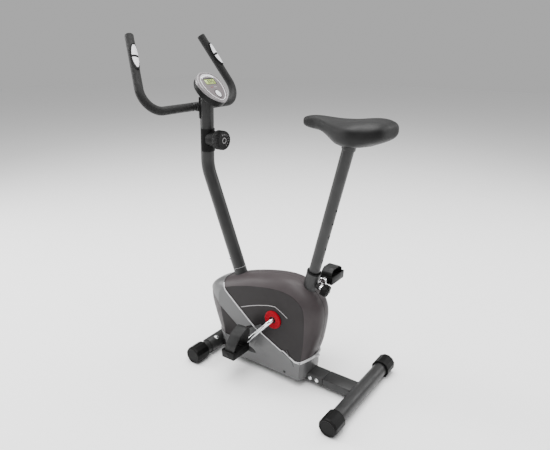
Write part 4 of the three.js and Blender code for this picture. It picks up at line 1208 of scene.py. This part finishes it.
# %% Foam grips
BAR_X, BAR_Z, BAR_HALF, END_X, END_HALF, END_Z, BAR_BEND = -387, 935, 245, -515, 169, 1172, 65
FOAM_R = 14.8


def grip_arm(side):
    end, corner = Vector((END_X, side * END_HALF, END_Z)), Vector((BAR_X, side * BAR_HALF, BAR_Z))
    return end, corner, (corner - end).normalized()


for side_name, side in SIDES:
    end, corner, down = grip_arm(side)
    bm = bmesh.new()
    route = rounded_route([end + down * 4.4, corner, Vector((BAR_X, side * 30.5, BAR_Z))], BAR_BEND, 4)
    places = stations(route)
    nose = [places[0] @ Matrix.Translation((0, 0, -4.4 * math.sin(a) * MM))
            @ Matrix.Diagonal((1 - 0.3 * (1 - math.cos(a)), 1 - 0.3 * (1 - math.cos(a)), 1, 1))
            for a in [math.pi / 2 * k / 6 for k in range(6, 0, -1)]]
    tail = places[-1] @ Matrix.Diagonal((0.95, 0.95, 1, 1))
    inner = places[-1] @ Matrix.Translation((0, 0, -1.2 * MM))
    sweep(bm, nose + places[:-1] + [inner, tail], circle_ring(FOAM_R, 48))
    make_piece(f"foam_grip_{side_name}", bm, finishes["foam"], "base", [f"grip_{side_name}"])
print("foam grips done")

# %% [markdown]
# Each grip carries a pulse sensor on the face toward the rider: a black almond-shaped holder bent
# round the sleeve with two bright contact plates. A patch is a grid wrapped round the grip, its
# half angle following the almond, then thickened outwards.

# %% Pulse sensors
def grip_patch(side, radius, thick, start, stop, half_angle, groove=0.0, rows=36, columns=20):
    end, corner, down = grip_arm(side)
    face = (Vector((1, 0, 0)) - down * down.x).normalized()
    face.rotate(Quaternion(down, -side * math.radians(14)))
    along = down.cross(face)
    bm = bmesh.new()
    bmesh.ops.create_grid(bm, x_segments=columns, y_segments=rows, size=1)
    for vert in bm.verts:
        u, v = vert.co.x, (vert.co.y + 1) / 2
        angle = math.radians(half_angle(v)) * u
        r = radius - groove * math.exp(-(u / 0.14) ** 2)
        at = end + down * (start + (stop - start) * v) + (face * math.cos(angle) + along * math.sin(angle)) * r
        vert.co = P(*at)
    tidy(bm)
    outward = sum((f.normal.dot(face) for f in bm.faces), 0.0)
    if outward < 0:
        bmesh.ops.reverse_faces(bm, faces=bm.faces[:])
    bmesh.ops.solidify(bm, geom=bm.faces[:], thickness=thick * MM)
    bmesh.ops.recalc_face_normals(bm, faces=bm.faces)
    rim = [e for e in bm.edges if e.is_manifold and e.calc_face_angle(0) > math.radians(55)]
    bmesh.ops.bevel(bm, geom=rim, offset=0.28 * MM, offset_type="OFFSET", segments=2, profile=0.5,
                    affect="EDGES", material=-1)
    return bm


for side_name, side in SIDES:
    bm = grip_patch(side, FOAM_R + 2.5, 1.9, 40, 132,
                    lambda v: 6 + 54 * math.sin(math.pi * (0.06 + 0.9 * v)) ** 0.7)
    make_piece(f"sensor_holder_{side_name}", bm, finishes["black_plastic"], "base",
               [f"pulse_housing_{side_name}"])
    bm = grip_patch(side, FOAM_R + 3.75, 0.9, 46, 82, lambda v: 8 + 30 * math.sin(math.pi / 2 * v) ** 0.6, 0.3)
    make_piece(f"sensor_plate_upper_{side_name}", bm, bright_key, "base",
               [f"pulse_plate_upper_{side_name}"])
    bm = grip_patch(side, FOAM_R + 3.75, 0.9, 90, 126, lambda v: 5 + 33 * math.cos(math.pi / 2 * v) ** 0.75, 0.3)
    make_piece(f"sensor_plate_lower_{side_name}", bm, bright_key, "base",
               [f"pulse_plate_lower_{side_name}"])
print("pulse sensors done")

# %% [markdown]
# The clamp is a half sleeve round the post and a whole one round the bar, joined by a block.
# Each sleeve is spun, and a plane cuts the front off the one on the post.

# %% Bar clamp
clamp = bmesh.new()
clamp_low, clamp_high = Vector((-342, 0, BAR_Z - 38)), Vector((-339.5, 0, BAR_Z + 34))
turned(clamp, P(*clamp_low), clamp_high - clamp_low,
       [(24.6, 0), (27.4, 0), (28.2, 0.8), (28.2, 71.2), (27.4, 72), (24.6, 72)], 72)
bmesh.ops.bisect_plane(clamp, geom=clamp.verts[:] + clamp.edges[:] + clamp.faces[:], dist=1e-7,
                       plane_co=P(-352, 0, 0), plane_no=(1, 0, 0), clear_outer=True)
bmesh.ops.holes_fill(clamp, edges=[e for e in clamp.edges if e.is_boundary], sides=0)
turned(clamp, P(BAR_X, -26, BAR_Z), (0, 1, 0),
       [(13.0, 0), (14.4, 0), (15.3, 1), (15.3, 51), (14.4, 52), (13.0, 52)], 48)
rounded_block(clamp, (BAR_X + 8, -18, BAR_Z - 15), (-366.5, 18, BAR_Z + 15), 2)
make_piece("clamp_plate", clamp, finishes["black_steel"], "base", ["bar_clamp"])
print("handlebar done")

# %% [markdown]
# The console is egg-shaped, narrow toward the rider. Everything on it is made from one outline:
# the outline is a closed smooth curve through a few points, and a part is a list of stations,
# each a scale of that outline and a height above the console's own plane.

# %% Console outline
EGG = [(-64, 0), (-57, 31), (-31, 53), (2, 57), (35, 46), (57, 24), (66, 0), (57, -24), (35, -46), (2, -57),
       (-31, -53), (-57, -31)]


def closed_curve(points, count):
    pts = [Vector(p) for p in points]
    out = []
    for i in range(count):
        t = i / count * len(pts)
        k, u = int(t), t - int(t)
        a, b, c, d = (pts[(k + j) % len(pts)] for j in (-1, 0, 1, 2))
        out.append(0.5 * (2 * b + (c - a) * u + (2 * a - 5 * b + 4 * c - d) * u * u
                          + (3 * b - a - 3 * c + d) * u ** 3))
    return out


egg_line = closed_curve(EGG, 120)


def outline_ring(line):
    def ring(bm_, place):
        verts = [bm_.verts.new(place @ Vector((p.x * MM, p.y * MM, 0))) for p in line]
        return [bm_.edges.new(pair) for pair in zip(verts, verts[1:] + verts[:1])]
    return ring


def stack(bm, line, profile, place=console_place, centre=(0, 0), caps=True, loop=False):
    """Stations of (scale, height): the outline grows and shrinks about a centre as it climbs."""
    middle = Vector((centre[0] * MM, centre[1] * MM, 0))
    places = [place @ Matrix.Translation((0, 0, h * MM)) @ Matrix.Translation(middle)
              @ Matrix.Diagonal((s, s, 1, 1)) @ Matrix.Translation(-middle) for s, h in profile]
    if loop:
        places.append(places[0])
    sweep(bm, places, outline_ring(line), caps=caps)
print("console outline:", len(egg_line), "points")

# %% [markdown]
# Back, bezel and face are stacks of the same outline. The bezel's lower stations are tilted, so
# that its bright side is deep at the far end and thin toward the rider.

# %% Console back, bezel and face
back = bmesh.new()
stack(back, egg_line, [(0.02, -36), (0.6, -36), (0.76, -35.4), (0.88, -33.4), (0.95, -30.5), (0.985, -27), (1.0, -23),
                       (1.0, -4.2), (0.98, -4.0), (0.9, -4.0), (0.02, -4.0)])
make_piece("console_shell", back, finishes["black_plastic"], "base", ["console_back"])

# the bright side of the bezel is deepest at the far end and runs out toward the rider
bezel = bmesh.new()
SLOPE = Matrix.Rotation(math.radians(-5.5), 4, "Y")
rim_stations = [console_place @ Matrix.Translation((0, 0, h * MM)) @ turn @ Matrix.Diagonal((k, k, 1, 1))
                for k, h, turn in [(1.002, -8.6, SLOPE), (1.02, -8.0, SLOPE), (1.02, -1.5, Matrix.Identity(4)),
                                   (1.012, 0.2, Matrix.Identity(4)), (0.99, 1.5, Matrix.Identity(4)),
                                   (0.97, 2.0, Matrix.Identity(4)), (0.93, 2.0, Matrix.Identity(4)),
                                   (0.915, 1.5, Matrix.Identity(4)), (0.91, 0.2, Matrix.Identity(4)),
                                   (0.91, -3.7, Matrix.Identity(4)), (1.002, -8.6, SLOPE)]]
sweep(bezel, rim_stations, outline_ring(egg_line), caps=False)
make_piece("console_rim", bezel, bezel_silver, "base", ["console_bezel"])

face = bmesh.new()
stack(face, egg_line, [(0.02, -3), (0.9, -3), (0.905, -2.6), (0.905, 0.9), (0.895, 1.3), (0.86, 1.5), (0.02, 1.5)])
cutters = bmesh.new()
slot_at = console_place @ Matrix.Translation((-24 * MM, 0, 2 * MM))
bmesh.ops.create_cube(cutters, size=1, matrix=slot_at @ Matrix.Diagonal((24.8 * MM, 48.8 * MM, 5.2 * MM, 1)))
button_place = console_place @ Matrix.Translation((30 * MM, 0, 0))
circle_line = closed_curve([(math.cos(math.radians(a)), math.sin(math.radians(a)))
                            for a in range(0, 360, 30)], 48)
oval_line = [Vector((p.x * 14.5, p.y * 11)) for p in circle_line]
stack(cutters, oval_line, [(1, -5), (1, 6)], place=button_place)
make_piece("console_panel", carve(face, cutters), finishes["grey_plastic"], "base", ["console_face"])
print("console shells done")

# %% [markdown]
# On the face: a bright narrow bead follows the outline, an arched silver trim sits over the
# display, the display lies in a recess behind a clear window, and one oval key sits below.

# %% Console trim
INNER_EGG = closed_curve([(-54, 0), (-48, 24), (-27, 41), (2, 43), (32, 33), (50, 17), (57, 0), (50, -17), (32, -33),
                          (2, -43), (-27, -41), (-48, -24)], 120)


def flat_bead(name, line, radius, height, finish, body, closed=True, place=console_place, flat=0.5):
    bm = bmesh.new()
    points = [place @ Vector((p.x * MM, p.y * MM, height * MM)) for p in line]
    if closed:
        points += points[:2]
    normal = (place.to_3x3() @ Vector((0, 0, 1))).normalized()
    places = []
    for i, point in enumerate(points):
        run = points[min(i + 1, len(points) - 1)] - points[max(i - 1, 0)]
        places.append(facing(point, run, across=normal) @ Matrix.Diagonal((flat, 1, 1, 1)))
    if closed:
        places = places[1:-1] + [places[1]]
        sweep(bm, places, circle_ring(radius, 10), caps=False)
    else:
        sweep(bm, rounded_ends(places, radius), circle_ring(radius, 10))
    return make_piece(name, bm, finish, body)


flat_bead("console_bead", INNER_EGG, 1.3, 1.6, bright_key, "base")
arch = [Vector((-34 - 14 * math.cos(math.radians(a)), 29 * math.sin(math.radians(a)))) for a in range(-70, 71, 5)]
flat_bead("console_arch", arch, 3.2, 1.5, bright_key, "base", closed=False, flat=0.35)

window = bmesh.new()
bmesh.ops.create_cube(window, size=1, matrix=console_place @ Matrix.Translation((-24 * MM, 0, -0.85 * MM))
                      @ Matrix.Diagonal((24 * MM, 48 * MM, 3.3 * MM, 1)))
bmesh.ops.bevel(window, geom=window.edges[:], offset=0.5 * MM, offset_type="OFFSET", segments=2, profile=0.5,
                affect="EDGES", material=-1)
make_piece("display", window, finishes["lcd"], "base", ["lcd_window"])

# %% [markdown]
# The readout is a generic time of day drawn with seven-bar figures, each bar a small raised slip
# of dark ink on the window.

# %% Readout
BARS = {"top": (-5, 0, False), "middle": (0, 0, False), "bottom": (5, 0, False), "upper_left": (-2.5, -2.6, True),
        "upper_right": (-2.5, 2.6, True), "lower_left": (2.5, -2.6, True), "lower_right": (2.5, 2.6, True)}
FIGURES = {"1": ("upper_right", "lower_right"), "0": ("top", "bottom", "upper_left", "upper_right", "lower_left",
           "lower_right"), "8": tuple(BARS), "5": ("top", "upper_left", "middle", "lower_right", "bottom")}
readout = bmesh.new()
for figure, across in (("1", -13), ("0", -4.2), ("8", 5.6), ("5", 15)):
    for bar in FIGURES[figure]:
        down, over, tall = BARS[bar]
        size = (6.6, 2.0) if tall else (2.0, 5.4)
        at = console_place @ Matrix.Translation(((-23.5 + down * 1.3) * MM, (across + over) * MM, 0.85 * MM))
        bmesh.ops.create_cube(readout, size=1,
                              matrix=at @ Matrix.Diagonal((size[0] * MM, size[1] * MM, 0.2 * MM, 1)))
make_piece("readout", readout, ink, "base")

frame_line = [Vector((-24 + 12.4 * i, 24.4 * j))
              for i, j in ((-1, -1), (-1, 0), (-1, 1), (0, 1), (1, 1), (1, 0), (1, -1), (0, -1))]
flat_bead("display_frame", frame_line, 0.9, 1.5, finishes["black_plastic"], "base")
# a strip of dark ink along the display's upper edge, just inside the frame, is painted shade
flat_bead("display_painted_shade", [Vector((-34.4, y)) for y in range(-22, 23, 4)], 1.3, 1.3, ink, "base",
          closed=False)
flat_bead("scan_mark", [Vector((1, y)) for y in range(-14, -3, 2)], 0.9, 1.5, finishes["red_plastic"], "base",
          closed=False)
flat_bead("mode_mark", [Vector((1, y)) for y in range(2, 15, 2)], 0.8, 1.5, pale_print, "base",
          closed=False)

key_ring = [Vector((p.x * 16.2, p.y * 12.7)) for p in circle_line]
flat_bead("key_surround", [Vector((p.x + 30, p.y)) for p in key_ring], 1.3, 1.5, finishes["black_plastic"], "base")
key = bmesh.new()
key_line = [Vector((p.x * 14, p.y * 10.5)) for p in circle_line]
stack(key, key_line, [(0.98, -1.5), (1.0, -1.2), (1.0, 2.0), (0.96, 2.7), (0.86, 3.1), (0.6, 3.25), (0.02, 3.3)],
      place=button_place)
make_piece("mode_key", key, bright_key, "mode_key", ["mode_button"])
print("console done")

# %% [markdown]
# The resistance dial: a saddle-shaped housing hugs the post and a fluted knob turns on its rear
# face. The knob's rim has fine flutes, and its face carries a plain octagon and a ring of level
# ticks in pale print, so that turning it can be seen.

# %% Dial
DIAL_Z, DIAL_REAR, DIAL_R = 826, -264, 34
drum = bmesh.new()
turned(drum, P(-330, 0, DIAL_Z), (1, 0, 0),
       [(0, 0), (27, 0), (28.4, 14), (29, 24), (29, 31.2), (28, 32.6), (7.5, 32.6), (7.5, 20), (0, 20)], 64)
post_slot = bmesh.new()
sweep(post_slot, stations([(-345.8, 0, 700), (-342.5, 0, 920)]), circle_ring(POST_R + 0.5, TUBE_SIDES))
make_piece("dial_drum", carve(drum, post_slot), finishes["black_plastic"], "base", ["dial_housing"])
collar = bmesh.new()
collar_foot, collar_top = Vector((-345.5, 0, DIAL_Z - 44)), Vector((-343.3, 0, DIAL_Z + 36))
turned(collar, P(*collar_foot), collar_top - collar_foot,
       [(POST_R + 0.4, 0), (POST_R + 2.2, 0), (POST_R + 3, 0.9), (POST_R + 3, 79), (POST_R + 2.2, 80),
        (POST_R + 0.4, 80)], 64)
bmesh.ops.bisect_plane(collar, geom=collar.verts[:] + collar.edges[:] + collar.faces[:], dist=1e-7,
                       plane_co=P(-350, 0, 0), plane_no=(-1, 0, 0), clear_outer=True)
bmesh.ops.holes_fill(collar, edges=[e for e in collar.edges if e.is_boundary], sides=0)
make_piece("dial_collar", collar, finishes["black_plastic"], "base")

knob = bmesh.new()
knob_place = facing(P(DIAL_REAR - 32.3, 0, DIAL_Z), (1, 0, 0), across=(0, 1, 0))
knob_steps = [(0, 0.9), (0.9, 0.97), (2.5, 1.0), (24.5, 1.0), (29.5, 0.985), (31.5, 0.95), (32.3, 0.9), (32.0, 0.84),
              (31.4, 0.8), (31.4, 0.02)]
sweep(knob, [knob_place @ Matrix.Translation((0, 0, d * MM)) @ Matrix.Diagonal((s, s, 1, 1)) for d, s in knob_steps],
      lobed_ring(DIAL_R - 0.8, 30, 0.75, 240))
make_piece("dial_grip", knob, finishes["black_plastic"], "dial", ["dial_knob"])

face_place = knob_place @ Matrix.Translation((0, 0, 31.4 * MM))
octagon = [Vector((9.5 * math.cos(math.radians(a)), 9.5 * math.sin(math.radians(a)))) for a in
           [22.5 + 45 * k for k in range(8)]]
octagon = [p.lerp(q, t) for p, q in zip(octagon, octagon[1:] + octagon[:1]) for t in (0, 0.5)]
flat_bead("dial_octagon", octagon, 0.8, 0.1, pale_print, "dial", place=face_place, flat=0.4)
for k in range(8):
    angle = math.radians(-60 + 25 * k)
    tick = [Vector((r * math.cos(angle), r * math.sin(angle))) for r in (19, 22.5 if k < 7 else 24)]
    flat_bead(f"dial_tick_{k + 1}", tick, 0.55, 0.1, pale_print, "dial", closed=False,
              place=face_place, flat=0.5)
print("dial done")

# %% [markdown]
# The saddle is moulded foam under a vinyl skin: a raised nose, a slight dip, a broad
# round tail, and a skirt that turns under to a plastic pan. It starts as a ball of many
# segments; every ring of it is then given the width and height that the saddle has at that
# length. A firm, one-piece moulding has no panels to inflate, so it is shaped directly.

# %% Saddle
NOSE, TAIL, SADDLE_HALF_WIDTH, SADDLE_BASE = 66, 352, 104, 876


def blend_step(value, low, high):
    u = min(max((value - low) / (high - low), 0), 1)
    return u * u * (3 - 2 * u)


def saddle_top(along):
    return 947 - 9 * blend_step(along, 0.1, 0.45) + 14 * blend_step(along, 0.5, 0.9)


def saddle_low(along):
    return 899 - 36 * blend_step(along, 0.2, 0.55) + 14 * blend_step(along, 0.7, 1)


def saddle(shrink=1.0, u_segments=112, v_segments=80):
    bm = bmesh.new()
    bmesh.ops.create_uvsphere(bm, u_segments=u_segments, v_segments=v_segments, radius=1)
    half_length = (TAIL - NOSE) / 2
    for vert in bm.verts:
        t = min(max(vert.co.z, -1), 1)
        ring = math.sqrt(max(0.0, 1 - t * t))
        c = vert.co.y / ring if ring > 1e-6 else 0
        s = vert.co.x / ring if ring > 1e-6 else 0
        along = (t + 1) / 2
        round_ends = ring ** 0.42
        half = (29 + (SADDLE_HALF_WIDTH - 29) * blend_step(along, 0.12, 0.74)) * round_ends * shrink
        middle = 924 - 11 * blend_step(along, 0.1, 0.6)
        rise = saddle_top(along) - middle if s > 0 else middle - saddle_low(along)
        lift = rise * round_ends * math.copysign(abs(s) ** 0.75, s)
        # a shallow relief channel down the middle of the rear half
        if s > 0:
            lift -= 2.0 * blend_step(along, 0.3, 0.7) * round_ends * math.exp(-(c / 0.2) ** 2) * s
        vert.co = P(NOSE + half_length + half_length * t * shrink, half * math.copysign(abs(c) ** 0.75, c),
                    middle + lift)
    return bm


def cut_flat(bm, height, keep_above=True):
    made = bmesh.ops.bisect_plane(bm, geom=bm.verts[:] + bm.edges[:] + bm.faces[:], dist=1e-6,
                                  plane_co=(0, 0, height * MM), plane_no=(0, 0, 1),
                                  clear_inner=keep_above, clear_outer=not keep_above)
    rim = [g for g in made["geom_cut"] if isinstance(g, bmesh.types.BMEdge)]
    bmesh.ops.edgeloop_fill(bm, edges=rim)
    return rim


cushion = saddle()
rim = cut_flat(cushion, SADDLE_BASE + 0.1)
tidy(cushion)
rolled = [e for e in cushion.edges if e.is_manifold and e.calc_face_angle(0) > math.radians(40)
          and e.verts[0].co.z < (SADDLE_BASE + 1) * MM and e.verts[1].co.z < (SADDLE_BASE + 1) * MM]
bmesh.ops.bevel(cushion, geom=rolled, offset=2.0 * MM, offset_type="OFFSET", segments=3, profile=0.5,
                affect="EDGES", material=-1, clamp_overlap=True)
seat_piece = make_piece("saddle_cushion", cushion, finishes["vinyl"], "seat", ["seat_cushion"], crisp=50)

pan = saddle(0.93, 72, 48)
cut_flat(pan, SADDLE_BASE - 6)
cut_flat(pan, SADDLE_BASE - 0.3, keep_above=False)
make_piece("saddle_pan", pan, finishes["black_plastic"], "seat", ["seat_pan"])
print("saddle done")
